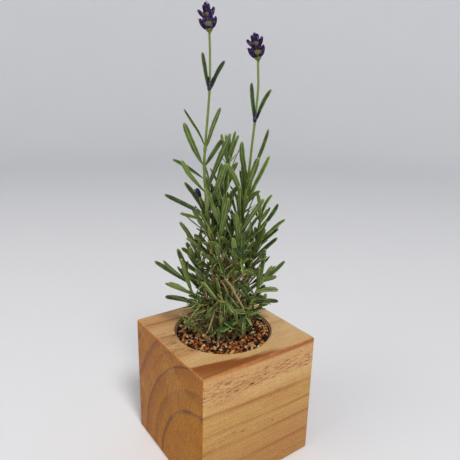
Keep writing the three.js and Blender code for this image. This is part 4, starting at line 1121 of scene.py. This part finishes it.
def grow_withered(stems, space):
    """Short curled dry leaves low on the stems, hanging outwards and down, and thin dry stalks between
    them, most of them in front."""
    leaves = []
    for i, shoot in enumerate(SHOOTS):
        draws = Draws(i + 601)
        top = 0.42 if shoot[0].startswith("flowering") else 0.55
        for k in range(WITHERED):
            j = [draws.next() for _ in range(7)]
            foot = stems[i].at_share(0.12 + (top - 0.12) * (k + 0.5 * j[0] + 0.5) / WITHERED)
            row = leaf_row(foot, DIVERGENCE * k + 20 * j[1], 82 + 24 * j[2], 34 + 40 * j[3],
                           10 + 3.5 * j[4], 2.0 + 0.5 * j[5], 80 * j[6])
            placed = place(row, i, space, FINE_TRIES, DRY_GAP)
            if placed is not None:
                leaves.append((i, placed, DRY_LEAF, False))
        inner = shoot[0].startswith(("flowering", "shoot_centre", "shoot_inner", "shoot_front"))
        wisps = INNER_WISPS if inner else WISPS
        for k in range(wisps):
            j = [draws.next() for _ in range(6)]
            foot = stems[i].at_share(0.22 + (top + 0.12 * inner - 0.16) * (k + 0.5) / wisps)
            if foot[0][2] > WISP_TOP:
                continue
            side = 255 + 100 * j[1] if inner else DIVERGENCE * k
            row = leaf_row(foot, side, 62 + 34 * j[2], 60 * j[3], 13 + 6 * j[4], 0.95 + 0.3 * j[5])
            leaves.append((i, row, DRY_STALK, False))
    return leaves


BLADE_STATIONS = np.array([0, 0.08, 0.2, 0.42, 0.66, 0.85, 0.955, 1.0])
BLADE_WIDTHS = np.array([0.3, 0.52, 0.76, 0.9, 0.94, 0.86, 0.62, 0.24])
# Section of a blade, counter-clockwise: share of the half width to the side, and above its middle.
BLADE_SECTION = np.array([(1.0, -0.16), (0.58, 0.17), (0.0, -0.02), (-0.58, 0.17), (-1.0, -0.16),
                          (-0.62, -0.2), (0.0, -0.34), (0.62, -0.2)])
UPPER = np.array([0.6, 1, 1, 1, 0.6, 0, 0, 0])


def blade_rings(rows, sway):
    """Blades carried along their arcs: narrow at the root, nearly parallel-sided, blunt at the tip, with
    a groove above the midrib, a keel below it and edges rolled under. `sway` bows each to one side and
    waves it once up and down."""
    points, side, face = leaf_lines(rows, BLADE_STATIONS)
    half = rows[:, WIDTH, None] * BLADE_WIDTHS / 2
    bow = sway[:, 0:1] * rows[:, LENGTH, None] * np.sin(math.pi * BLADE_STATIONS) * 0.03
    lift = sway[:, 1:2] * rows[:, LENGTH, None] * np.sin(2 * math.pi * BLADE_STATIONS) * 0.022
    points = points + side * bow[..., None] + face * lift[..., None]
    s, f = BLADE_SECTION.T
    rings = carried((points, side, face), half[..., None] * s, half[..., None] * f)
    return rings, marked(rings, np.abs(s), BLADE_STATIONS[:, None], UPPER)


def leaf_finish(props):
    """Lavender leaf: green that greys with age, its old colour also paler as painted light on the low leaves;
    paler at the base and below; painted shade in the midrib groove, with a pale keel below the midrib; rolled
    paler edges that partly carry a painted highlight; and a fine felt."""
    made = Finish("lavender_leaf", Sheen_Weight=0.06, Sheen_Roughness=0.35, Sheen_Tint=(0.9, 0.95, 0.75, 1),
                  Specular_IOR_Level=0.35)
    tone, age, _ = made.value("tone")
    across, reach, upper = made.value("blade")
    age = made.add(age, props.greyness)
    young = made.ramp(tone, [(0.0, linear(30, 54, 8)), (0.4, linear(50, 80, 12)), (0.75, linear(72, 104, 20)),
                             (1.0, linear(112, 140, 42))])
    # the old ramp is greyer with age and also paler: the paleness is painted light that brightens the old low
    # leaves
    old = made.ramp(tone, [(0.0, linear(30, 48, 12)), (0.4, linear(56, 80, 24)), (0.75, linear(88, 110, 44)),
                           (1.0, linear(158, 168, 104))])
    dry = made.ramp(tone, [(0.0, linear(56, 38, 22)), (0.5, linear(118, 92, 56)),
                           (1.0, linear(190, 162, 112))])
    colour = made.blend(made.band(age, 0.1, 0.95), young, old)
    patches = made.noise((0.25, 0.25, 0.25), detail=3.0)
    colour = made.layers(
        colour,
        (made.band(patches, 0.45, 0.7, 0.0, 0.35), linear(110, 138, 44)),
        (made.band(patches, 0.55, 0.25, 0.0, 0.5), linear(18, 34, 4)))
    below = made.less(1.0, upper)
    colour = made.layers(
        colour,
        (made.times(below, 0.4), linear(98, 116, 52)),
        (made.band(reach, 0.3, 0.0, 0.0, 0.45), linear(118, 140, 44)))
    # painted shade: the midrib groove is painted near black where shade falls in it
    groove = made.times(made.band(across, 0.34, 0.06), upper, 0.8)
    colour = made.blend(groove, colour, linear(14, 26, 6))
    keel = made.times(made.band(across, 0.3, 0.05), below, 0.5)
    colour = made.blend(keel, colour, linear(150, 160, 104))
    # pale rolled edges: partly their real paler colour and partly a painted highlight along them
    margin = made.times(made.band(across, 0.72, 0.94), made.band(patches, 0.4, 0.6, 0.25, 0.9))
    colour = made.blend(margin, colour, linear(166, 184, 104))
    tip = made.times(made.band(reach, 0.93, 1.0), made.band(patches, 0.42, 0.58, 0.2, 0.7))
    colour = made.blend(tip, colour, linear(192, 184, 128))
    felt = made.noise((2.4, 2.4, 2.4), detail=2.0)
    colour = made.blend(made.band(felt, 0.5, 0.8, 0.0, 0.22), colour, linear(150, 164, 98))
    dry = made.blend(made.band(felt, 0.4, 0.7, 0.0, 0.5), dry, linear(84, 62, 38))
    colour = made.blend(made.band(age, 1.2, 1.6), colour, dry)
    made.colour(colour)
    made.rough(made.band(felt, 0.3, 0.7, 0.48, 0.66))
    made.bump(made.add(felt, made.times(patches, 2.0)), 0.12, 0.5)
    return made.material


def stalk_finish():
    """Square stalk: woody tan and grey low down, tan-yellow in the middle, yellow-green above."""
    made = Finish("lavender_stalk", Specular_IOR_Level=0.4)
    height = made.value("stalk")[1]
    streak = made.noise((1.6, 1.6, 0.12), detail=4.0, rough=0.6)
    green = made.blend(streak, linear(84, 104, 34), linear(128, 146, 66))
    wood = made.blend(streak, linear(104, 82, 54), linear(176, 152, 106))
    tan = made.blend(streak, linear(150, 138, 62), linear(198, 182, 102))
    colour = made.blend(made.band(height, 0.3, 0.55), wood, tan)
    colour = made.blend(made.band(height, 0.62, 0.85), colour, green)
    made.colour(colour)
    made.rough(made.band(streak, 0.3, 0.7, 0.5, 0.72))
    made.bump(streak, 0.15, 0.6)
    return made.material


SHOOT_NUMBER = {shoot[0]: i for i, shoot in enumerate(SHOOTS)}


# The low leaves of the front hang: those rooted below this height and nearer than this bend further by
# the given angles and keep a share of their length, the lowest ones at the sides the smaller share.
HANG_BELOW, HANG_NEARER = 128, 4
HANG_BEND = (0.2, 1.1)
HANG_SIDE, HANG_LOW = 8, 118
HANG_SHARES = (0.48, 0.76)
SKIRT_SHARE = 0.66
# A leaf rooted at LOW_FROM or lower keeps LOW_SHARE of its length, and one part in LOW_PER more for each
# millimetre above that. Leaves grow old over AGE_SPAN below AGE_TOP, and their paler old colour is partly
# painted light on the low leaves.
LOW_SHARE, LOW_FROM, LOW_PER = 0.6, 96, 46
AGE_TOP, AGE_SPAN = 205, 75
# The dry tangle in the middle of the front: its place (u, z), its reach, and how much shorter, narrower
# and drier it makes the leaves.
HEART, HEART_REACH = (-1, 140), (15, 18)
HEART_SHORTER, HEART_NARROWER, HEART_DRIER = 0.5, 0.25, 0.8


def settle(rows, owners, kinds, measured, rng):
    """Changes the grown leaves to how they hang; returns how deep in the dry tangle each stands."""
    rows[:, TWIST] += rng.uniform(-0.5, 0.5, len(rows))
    skirt = np.array([SHOOTS[i][0].startswith("shoot_skirt") for i in owners])
    rows[skirt, LENGTH] *= SKIRT_SHARE
    kept = np.clip(LOW_SHARE + (rows[:, 2] - LOW_FROM) / LOW_PER, LOW_SHARE, 1)
    rows[:, LENGTH] *= np.where(measured, 1, kept)
    hang = (rows[:, 2] < HANG_BELOW) & (rows[:, 1] < HANG_NEARER) & ~measured
    rows[hang, BEND] += rng.uniform(*HANG_BEND, hang.sum())
    lowest = (np.abs(rows[hang, 0]) > HANG_SIDE) & (rows[hang, 2] < HANG_LOW)
    rows[hang, LENGTH] *= np.where(lowest, *HANG_SHARES)
    rows[hang, WIDTH] *= 1.1
    tips = leaf_lines(rows, np.array([0.0, 1.0]))[0][:, -1, 2]
    rows[hang & (tips < MIX_TOP + 1), LENGTH] *= 0.5
    aside, above = ((rows[:, i] - centre) / reach for i, centre, reach in zip((0, 2), HEART, HEART_REACH))
    heart = np.exp(-aside ** 2 - above ** 2) * (rows[:, 1] < 2)
    heart[measured | (kinds > YOUNG)] = 0
    rows[:, LENGTH] *= 1 - HEART_SHORTER * heart
    rows[:, WIDTH] *= 1 - HEART_NARROWER * heart
    return heart


def leaf_ages(rows, kinds, measured, heart, rng):
    """0 for a fresh leaf, 1 for an old one and 2 for a dry one: older lower down, and in the tangle. The old
    colour is paler partly as painted light, so this also brightens the low leaves.
    """
    age = np.clip((AGE_TOP - rows[:, 2]) / AGE_SPAN, 0, 1) + rng.normal(0, 0.22, len(rows))
    age = np.where(kinds == YOUNG, age * 0.6, age) + HEART_DRIER * heart * rng.random(len(rows))
    age = np.where(kinds == DRY_LEAF, rng.uniform(0.7, 1.9, len(rows)), age)
    age = np.where(kinds == DRY_STALK, 2.0, age)
    return np.where(measured, np.minimum(age, 0.9), age)


def add_stalk(shape, sections, share, height):
    """Adds a stalk to a shape, with its place along the stem and up the plant as its values."""
    shape.tubes(to_block(sections)[None], stalk=marked(sections, share, height)[None])


def build_plant(props):
    """Every leafy shoot: its square stalk, the CAD source's leaves as fine blades, and the young and
    withered ones between them. All leaves are grown first, so that each finds its room among the rest."""
    stems = [Stem(path, radius, STEM_LENGTHS if name.startswith("flowering") else SHOOT_LENGTHS)
             for name, radius, path, _, _ in SHOOTS]
    sprigs = [Stem(path, SPRIG_RADIUS, SPRIG_LENGTHS) for _, path, _ in SPRIGS]
    space = Clearance()
    for i, stem in enumerate(stems):
        space.add(i, stem.rods())
    for _, path, radius in TWIGS:
        space.add(-1, Stem(path, radius, SHOOT_LENGTHS).rods())
    for _, foot, tips, width in AXIL_BUDS:
        foot = np.repeat([foot], len(tips), 0).astype(float)
        thick, outer = np.full(len(tips), width / 2), np.zeros(len(tips), bool)
        space.add(-2, (foot, np.array(tips, float), thick, outer))
    grown = grow_leaves(stems, space)
    for stem, (name, _, _) in zip(sprigs, SPRIGS):
        space.add(SHOOT_NUMBER[name], stem.rods())
    grown += grow_young(stems, sprigs, space)
    grown += grow_withered(stems, space)

    rng = np.random.default_rng(PLANT_SEED)
    owners, rows, kinds, measured = (np.array(values) for values in zip(*grown))
    sway, tone = rng.uniform(-1, 1, (len(rows), 2)), rng.random(len(rows))
    heart = settle(rows, owners, kinds, measured, rng)
    age = leaf_ages(rows, kinds, measured, heart, rng)
    tone = np.where(kinds > YOUNG, 0.35 + 0.65 * tone, tone)
    rings, blade = blade_rings(rows, sway)
    marks = marked(np.zeros((len(rows), 1, 1, 3)), tone[:, None, None], age[:, None, None])
    leaf, bark = leaf_finish(props), stalk_finish()
    for i, (name, radius, path, rule, tips) in enumerate(SHOOTS):
        mine = owners == i
        shape = Shape()
        shape.tubes(to_block(rings[mine]), blade=blade[mine], tone=marks[mine])
        finish_piece(shape.build("leaves_" + name), leaf, "foliage", name)
        flowering = name.startswith("flowering")
        steps, swell, top = (110, 0.28, 215) if flowering else (60, 0.2, min(190, path[-1][2] - 6))
        nodes = {pair_place(rule, k) for k in range(rule[0])} | {stem_share(stems[i], tip[0]) for tip in tips}
        sections, share = stalk_rings(path, radius, steps, sorted(nodes), swell)
        shape = Shape()
        add_stalk(shape, sections, share[:, None], np.clip((sections[..., 2] - 95) / (top - 95), 0, 1))
        for parent, way, _ in SPRIGS:
            if parent == name:
                sections, share = stalk_rings(way, SPRIG_RADIUS, 12)
                add_stalk(shape, sections, share[:, None], 0.7)
        finish_piece(shape.build("stalk_" + name), bark, "foliage", name)

    shape = Shape()
    for foot, tip, radius in STUBS:
        middle = np.add(foot, tip) / 2 + (0.2, -0.4, 0.6)
        sections, _ = stalk_rings([foot, middle, tip], (radius, radius * 0.8), 10, columns=7)
        add_stalk(shape, sections, 0.0, 0.1)
    finish_piece(shape.build("dry_stubs"), bark, "dry_twig")


def stem_share(stem, height):
    """How far along its length a stem reaches a height."""
    return float(np.interp(height, stem.points[:, 2], stem.lengths) / stem.lengths[-1])


def build_twigs():
    """Bare twigs: a ten-sided profile with drawn lumps carried along a curve, with snapped ends."""
    rng = np.random.default_rng(5)
    made = Finish("dry_twig_bark", Specular_IOR_Level=0.25)
    streak = made.noise((1.4, 1.4, 0.5), detail=5.0, rough=0.7)
    spots = made.noise((0.35, 0.35, 0.35), detail=3.0)
    colour = made.ramp(streak, [(0.25, linear(110, 88, 60)), (0.5, linear(182, 158, 112)),
                                (0.8, linear(222, 204, 164))])
    colour = made.blend(made.band(spots, 0.52, 0.7, 0.0, 0.5), colour, linear(118, 92, 62))
    green = made.blend(streak, linear(88, 104, 36), linear(150, 166, 76))
    made.colour(made.blend(made.band(made.value("living")[0], 0.2, 0.5), colour, green))
    made.rough(made.band(streak, 0.3, 0.7, 0.9, 0.65))
    made.bump(streak, 0.35, 0.8)
    for name, path, radius in TWIGS:
        rings, _ = stalk_rings(path, radius, 48, (0.3, 0.52, 0.74, 0.9), 0.35, columns=10)
        centre = rings.mean(1, keepdims=True)
        lumps = 1 + rng.uniform(-0.1, 0.1, rings.shape[:2])[..., None]
        rings = centre + (rings - centre) * lumps
        rings[-1] = centre[-1] + (rings[-1] - centre[-1]) * 0.55
        shape = Shape()
        living = marked(rings, np.linspace(0, name == "dry_twig_middle", len(rings))[:, None])
        shape.tubes(to_block(rings)[None], living=living[None])
        finish_piece(shape.build("bark_" + name), made.material, "dry_twig", name)


# ---------- flowers ----------
CALYX_STATIONS = np.array([0, 0.07, 0.2, 0.38, 0.58, 0.76, 0.88, 0.95, 1.0])
CALYX_SIZES = np.array([0.35, 0.52, 0.76, 0.95, 1.0, 0.94, 0.8, 0.6, 0.22])


def calyx_rings(rows, ribs, columns=16):
    """Calyces on their arcs: narrow at the foot, widest past the middle, closed in at the mouth, with
    ribs as waves round the section that fade at both ends."""
    lines = leaf_lines(rows, CALYX_STATIONS)
    angle = around(columns)
    fade = np.sin(math.pi * np.clip(CALYX_STATIONS, 0.02, 0.98)) ** 0.4
    wave = 1 + 0.09 * np.cos(ribs * angle)[None] * fade[:, None]
    size = (rows[:, WIDTH, None, None] / 2) * CALYX_SIZES[:, None] * wave
    rings = carried(lines, size * np.cos(angle), size * np.sin(angle))
    return rings, marked(rings, CALYX_STATIONS[:, None], (0.5 + 0.5 * np.cos(ribs * angle)) * fade[:, None])


def calyx_finish(props):
    """Calyx: near-black violet between lilac ribs, with lilac patches that are partly felt and partly painted
    highlights, and olive at the foot. The third value darkens it, and from 1.6 on makes it the pale grey of a
    withered petal."""
    made = Finish("lavender_calyx", Specular_IOR_Level=0.25)
    reach, rib, tone = made.value("calyx")
    felt = made.noise((0.6, 0.6, 0.6), detail=3.0, rough=0.65)
    ribs = made.times(made.band(rib, 0.4, 0.95), made.band(felt, 0.44, 0.56, 0.0, 0.85))
    colour = made.blend(ribs, tuple(props.calyx_colour), linear(88, 54, 146))
    # the lilac patches are partly the felt's colour and partly painted highlights
    colour = made.layers(
        colour,
        (made.band(felt, 0.54, 0.62, 0.0, 0.65), linear(128, 100, 184)),
        (made.band(reach, 0.86, 1.0, 0.0, 0.6), linear(22, 6, 30)),
        (made.times(tone, 0.4), linear(20, 6, 30)),
        (made.band(reach, 0.24, 0.04, 0.0, 0.85), linear(116, 112, 52)),
        (made.band(tone, 1.4, 1.6), linear(172, 158, 168)))
    made.colour(colour)
    made.rough(made.band(felt, 0.3, 0.7, 0.55, 0.8))
    made.bump(felt, 0.3, 0.8)
    return made.material


def bract_finish():
    """Bract: yellow-green low on the head and brown higher up, veined, with a browner rim."""
    made = Finish("lavender_bract", Sheen_Weight=0.05, Specular_IOR_Level=0.25)
    across, reach, brown = made.value("blade")
    veins = made.noise((1.5, 1.5, 0.4), detail=3.0)
    colour = made.blend(veins, linear(76, 84, 22), linear(122, 126, 48))
    colour = made.layers(
        colour,
        (brown, linear(104, 86, 50)),
        (made.band(across, 0.55, 0.95, 0.0, 0.75), linear(60, 38, 40)))
    made.colour(made.blend(made.band(reach, 0.7, 1.0, 0.0, 0.8), colour, linear(56, 30, 56)))
    made.rough(made.band(veins, 0.3, 0.7, 0.5, 0.7))
    made.bump(veins, 0.1, 0.5)
    return made.material


BRACT_STATIONS = np.array([0, 0.12, 0.3, 0.5, 0.68, 0.84, 0.95, 1.0])
BRACT_WIDTHS = np.array([0.18, 0.36, 0.72, 1.0, 0.96, 0.62, 0.24, 0.05])


def bract_rings(rows):
    """Broad pointed scales, thin, with their edges bent in round the head."""
    half = rows[:, WIDTH, None] * BRACT_WIDTHS / 2
    s = np.array([1, 0.5, 0, -0.5, -1, -0.5, 0, 0.5])
    lift = np.array([0, 0, 0, 0, 0, -1, -1, -1]) * 0.22
    hollow = half[..., None] * 0.42 * s ** 2
    rings = carried(leaf_lines(rows, BRACT_STATIONS), half[..., None] * s, hollow + lift)
    return rings, marked(rings, np.abs(s), BRACT_STATIONS[:, None])


def head_rows(foot, way, table):
    """Leaf rows of the parts of a head, set round its straight axis."""
    height, azimuth, length, spread, bend, width, out = np.array(table, float).T[:7, :, None]
    azimuth, spread, bend = np.radians(azimuth), np.radians(spread), np.radians(bend)
    e1, e2 = sideways(way)
    root = foot + way * height + out * (np.cos(azimuth) * e1 + np.sin(azimuth) * e2)
    onward = np.repeat(way[None], len(root), 0)
    return np.hstack([root, onward, azimuth, spread, bend, length, width, np.zeros(width.shape)])


def axis_rings(foot, way, profile):
    """Rings of a profile of (height, radius) round a straight axis, and blank marks for them."""
    e1, e2 = sideways(way)
    angle = np.arange(14) * math.pi / 7
    height, radius = np.array(profile, float).T[:, :, None, None]
    round_way = np.cos(angle)[:, None] * e1 + np.sin(angle)[:, None] * e2
    rings = foot + way * height + radius * round_way
    return rings, np.zeros(rings.shape)


HEAD_LENGTH = 18.55          # the head that the calyces were measured on
HEAD_LIFT = (0, 0, 0.7)
# Profiles of (height, radius): the core of a head, the green cup below it, and the collar round the
# stem from which a pair of axil buds grows.
HUB = [(0.8, 1.5), (3, 2.1), (10.5, 2.0), (14, 1.2)]
CUP = [(-1.4, 0.7), (-0.4, 0.8), (0.1, 1.35), (0.7, 1.95), (1.4, 2.35), (1.9, 2.2), (2.0, 1.2)]
COLLAR = [(-0.8, 0.9), (0, 1.35), (1.2, 1.5), (2.0, 1.3), (2.4, 0.9)]
# Drawn place of the side bud: its stalk, and the bud's foot and tip.
BUD_STALK = [(-15.1, -2.45, 200.5), (-17.2, -3.9, 203.2), (-17.9, -4.3, 205.4)]
BUD = [(-17.5, -4.2, 204.2), (-20.4, -5.0, 211.2)]
WITHERED_PETALS = [(15.4, 285, 3.2, 6, -6, 1.8, 0.5), (15.2, 200, 2.6, 14, -6, 1.3, 0.6)]


def build_flowers(props):
    """Two flower heads: ribbed calyces round a core, bracts between them and a green cup below; a pair
    of buds on a collar at each stem's upper node; and the single side bud on its stalk."""
    rng = np.random.default_rng(23)
    violet, olive = calyx_finish(props), bract_finish()
    for name, _, foot, top in HEADS:
        foot, top = np.array(foot, float) + HEAD_LIFT, np.array(top, float) + HEAD_LIFT
        way = unit(top - foot)
        stretch = np.linalg.norm(top - foot) / HEAD_LENGTH
        rows = head_rows(foot, way, CALYCES)
        rows[:, ROOT] = foot + (rows[:, ROOT] - foot) * stretch
        rows[:, AZIMUTH] += np.radians(rng.uniform(-7, 7, len(rows)))
        rows[:, SPREAD] += np.radians(rng.uniform(-4, 4, len(rows)))
        rings, marks = calyx_rings(rows, props.ribs)
        marks[..., 2] = rng.random(len(rows))[:, None, None]
        shape = Shape()
        shape.tubes(to_block(rings), calyx=marks)
        if name == "flower_head_left":
            rings, marks = calyx_rings(head_rows(foot, way, WITHERED_PETALS), 4)
            marks[..., 2] = 2.0
            shape.tubes(to_block(rings), calyx=marks)
        hub, marks = axis_rings(foot, way, HUB)
        marks[..., 0] = 0.3
        shape.tubes(to_block(hub)[None], calyx=marks[None])
        finish_piece(shape.build("calyces_" + name), violet, "flower", name)
        rings, blade = bract_rings(head_rows(foot, way, BRACTS))
        blade[..., 2] = np.array(BRACTS)[:, 7, None, None]
        shape = Shape()
        shape.tubes(to_block(rings), blade=blade)
        cup, blade = axis_rings(foot, way, CUP)
        blade[..., 1] = 0.3
        shape.tubes(to_block(cup)[None], blade=blade[None])
        finish_piece(shape.build("bracts_" + name), olive, "foliage")
    for name, foot, tips, _ in AXIL_BUDS:
        foot, tips = np.array(foot, float), np.array(tips, float)
        if len(tips) > 1:
            centre = foot + (0, 1.3, 0)
            base, marks = axis_rings(centre, np.array([0.0, 0, 1]), COLLAR)
            tips += (0.5, 0, 0.8)
            foot = centre + np.array([(-0.8, -0.9, 0.4), (0.8, -0.9, 0.4)])
            width = 1.5
        else:
            base, _ = stalk_rings(BUD_STALK, (0.5, 0.9), 6, columns=8)
            marks = np.zeros(base.shape)
            foot, tips, width = np.array(BUD[:1]), np.array(BUD[1:]), 3.0
        rows = np.zeros((len(tips), 12))
        rows[:, ROOT], rows[:, WAY] = foot, unit(tips - foot)
        rows[:, LENGTH], rows[:, WIDTH] = np.linalg.norm(tips - foot, axis=1), width
        marks[..., 0] = 0.5 if len(tips) > 1 else 0.0
        shape = Shape()
        shape.tubes(to_block(base)[None], calyx=marks[None])
        rings, marks = calyx_rings(rows, props.ribs)
        marks[..., 2] = 0.8 if len(tips) > 1 else 0.1
        shape.tubes(to_block(rings), calyx=marks)
        finish_piece(shape.build("buds_" + name), violet, "flower", name)


# ---------- stage ----------
CAMERA_PLACE = (-185.14, -263.07, 274.88)
CAMERA_YAW = math.radians(35.795)
CAMERA_PITCH = math.radians(16.479)
CAMERA_ROLL = math.radians(1.2663)
CAMERA_LENS = 35.93
CAMERA_SENSOR = 36.0


def build_camera():
    """The camera of the photograph: yaw from +Y towards +X, pitch down, and a small roll."""
    yaw, pitch, roll = CAMERA_YAW, CAMERA_PITCH, CAMERA_ROLL
    onward = np.array([math.sin(yaw) * math.cos(pitch), math.cos(yaw) * math.cos(pitch), -math.sin(pitch)])
    level = np.array([math.cos(yaw), -math.sin(yaw), 0])
    upward = np.cross(level, onward)
    right = math.cos(roll) * level + math.sin(roll) * upward
    top = math.cos(roll) * upward - math.sin(roll) * level
    data = bpy.data.cameras.new("photo_camera")
    data.sensor_fit, data.sensor_width, data.lens = "HORIZONTAL", CAMERA_SENSOR, CAMERA_LENS
    data.clip_start, data.clip_end = 0.01, 20
    camera = bpy.data.objects.new("photo_camera", data)
    bpy.context.scene.collection.objects.link(camera)
    turn = Matrix(np.stack([right, top, -onward], 1).tolist()).to_4x4()
    camera.matrix_world = Matrix.Translation(Vector(CAMERA_PLACE) * MM) @ turn
    bpy.context.scene.camera = camera


def add_light(name, place, target, size, power, colour):
    data = bpy.data.lights.new(name, "AREA")
    data.shape, data.size, data.energy, data.color = "DISK", size, power, colour
    light = bpy.data.objects.new(name, data)
    bpy.context.scene.collection.objects.link(light)
    light.location = place
    light.rotation_euler = (Vector(target) - Vector(place)).to_track_quat("-Z", "Y").to_euler()


def build_stage(props):
    """A pale floor that curves up into a low wall all round, soft light from the upper right and a
    weaker one from the left, and an even sky."""
    shape = Shape()
    angles = np.linspace(0, math.pi / 2, 12)
    profile = [(0.5, -0.2), (600.0, -0.2), (1400.0, -0.2)]
    profile += [(1600 + 900 * math.sin(a), 900 * (1 - math.cos(a)) - 0.2) for a in angles]
    profile += [(2500.0, 1500.0)]
    rings = turned(profile, 96)
    points = rings.reshape(-1, 3)
    shape.add(points, [ring_faces(len(profile), 96), np.arange(96)[None]])
    floor = shape.build("studio_floor")
    made = Finish("studio_paper", Specular_IOR_Level=0.2)
    cloud = made.noise((0.004, 0.004, 0.004), detail=2.0)
    pale = tuple(props.floor_colour)
    made.colour(made.blend(cloud, pale, tuple(value * 0.97 for value in pale)))
    made.rough(made.band(cloud, 0.3, 0.7, 0.8, 0.9))
    floor.data.materials.append(made.material)
    centre = (0, 0, 0.15)
    add_light("key_light", (-0.32, -1.54, 2.27), centre, 0.7, props.key_power, (1.0, 0.98, 0.94))
    add_light("fill_light", (-1.2, 0.2, 1.0), centre, 1.2, props.fill_power, (1.0, 0.96, 0.9))
    world = bpy.data.worlds.new("studio_sky")
    world.use_nodes = True
    sky = world.node_tree.nodes["Background"]
    sky.inputs["Color"].default_value = (0.93, 0.95, 1.0, 1)
    sky.inputs["Strength"].default_value = props.sky_strength
    bpy.context.scene.world = world
    bpy.context.scene.view_settings.view_transform = "Standard"
    build_camera()


# ---------- the add-on ----------
def colour_property(name, description, rgb):
    return FloatVectorProperty(name=name, description=description, subtype="COLOR", size=3, min=0, max=1,
                               default=linear(*rgb))


class LavenderBlockSettings(PropertyGroup):
    rounding: FloatProperty(name="Edge rounding", description="Radius of the block's rounded edges",
                            default=0.0017, min=0.0005, max=0.004, unit="LENGTH", subtype="DISTANCE")
    late_colour: colour_property("Ring colour", "Colour of the dark growth rings", (150, 82, 32))


class LavenderPotSettings(PropertyGroup):
    liner_colour: colour_property("Liner colour", "Colour of the liner cup", (190, 160, 116))
    chips: IntProperty(name="Bark chips", description="Number of bark chips on the mix", default=1500,
                       min=200, max=3000)


class LavenderPlantSettings(PropertyGroup):
    greyness: FloatProperty(name="Greyness", description="How much greyer the leaves are", default=0.0,
                            min=-0.5, max=0.5, subtype="FACTOR")


class LavenderFlowerSettings(PropertyGroup):
    calyx_colour: colour_property("Calyx colour", "Colour between the ribs of a calyx", (24, 8, 38))
    ribs: IntProperty(name="Calyx ribs", description="Ribs round each calyx", default=8, min=4, max=13)


class LavenderStageSettings(PropertyGroup):
    floor_colour: colour_property("Floor colour", "Colour of the studio floor", (247, 248, 252))
    key_power: FloatProperty(name="Key light", description="Power of the main light", default=39, min=0,
                             unit="POWER")
    fill_power: FloatProperty(name="Fill light", description="Power of the side light", default=5, min=0,
                              unit="POWER")
    sky_strength: FloatProperty(name="Sky", description="Strength of the even light", default=0.22, min=0)


class LAVENDER_OT_wood_block(Operator):
    """Build the pine block with its round bore"""
    bl_idname = "lavender.wood_block"
    bl_label = "Pine block"

    def execute(self, context):
        build_block(context.scene.lavender_block)
        return {"FINISHED"}


class LAVENDER_OT_liner(Operator):
    """Build the liner cup in the bore"""
    bl_idname = "lavender.liner"
    bl_label = "Liner cup"

    def execute(self, context):
        build_liner(context.scene.lavender_pot)
        return {"FINISHED"}


class LAVENDER_OT_potting_mix(Operator):
    """Build the bed of potting mix and its bark chips"""
    bl_idname = "lavender.potting_mix"
    bl_label = "Potting mix"

    def execute(self, context):
        build_mix(context.scene.lavender_pot)
        return {"FINISHED"}


class LAVENDER_OT_leafy_shoots(Operator):
    """Build the stalks and leaves of every shoot"""
    bl_idname = "lavender.leafy_shoots"
    bl_label = "Leafy shoots"

    def execute(self, context):
        build_plant(context.scene.lavender_plant)
        return {"FINISHED"}


class LAVENDER_OT_dry_twigs(Operator):
    """Build the bare dry twigs"""
    bl_idname = "lavender.dry_twigs"
    bl_label = "Dry twigs"

    def execute(self, context):
        build_twigs()
        return {"FINISHED"}


class LAVENDER_OT_flowers(Operator):
    """Build the flower heads, their bracts and the buds in the leaf axils"""
    bl_idname = "lavender.flowers"
    bl_label = "Flowers"

    def execute(self, context):
        build_flowers(context.scene.lavender_flower)
        return {"FINISHED"}


class LAVENDER_OT_stage(Operator):
    """Build the floor, the lights and the camera"""
    bl_idname = "lavender.stage"
    bl_label = "Stage"

    def execute(self, context):
        build_stage(context.scene.lavender_stage)
        return {"FINISHED"}


OPERATORS = (LAVENDER_OT_stage, LAVENDER_OT_wood_block, LAVENDER_OT_liner, LAVENDER_OT_potting_mix,
             LAVENDER_OT_leafy_shoots, LAVENDER_OT_dry_twigs, LAVENDER_OT_flowers)
SETTINGS = {
    "lavender_block": LavenderBlockSettings,
    "lavender_pot": LavenderPotSettings,
    "lavender_plant": LavenderPlantSettings,
    "lavender_flower": LavenderFlowerSettings,
    "lavender_stage": LavenderStageSettings,
}


class LAVENDER_PT_panel(Panel):
    """Sizes, colours and build buttons of the potted lavender"""
    bl_idname = "LAVENDER_PT_panel"
    bl_label = "Potted lavender"
    bl_space_type = "VIEW_3D"
    bl_region_type = "UI"
    bl_category = "Lavender"

    def draw(self, context):
        for key, group in SETTINGS.items():
            box = self.layout.box()
            for name in group.__annotations__:
                box.prop(getattr(context.scene, key), name)
        for operator in OPERATORS:
            self.layout.operator(operator.bl_idname)


def register():
    for made in (*SETTINGS.values(), *OPERATORS, LAVENDER_PT_panel):
        bpy.utils.register_class(made)
    for key, group in SETTINGS.items():
        setattr(bpy.types.Scene, key, PointerProperty(type=group))


def unregister():
    for key in SETTINGS:
        delattr(bpy.types.Scene, key)
    for made in reversed((*SETTINGS.values(), *OPERATORS, LAVENDER_PT_panel)):
        bpy.utils.unregister_class(made)


def main():
    register()
    for name in ("stage", "wood_block", "liner", "potting_mix", "leafy_shoots", "dry_twigs", "flowers"):
        getattr(bpy.ops.lavender, name)()


if __name__ == "__main__":
    main()
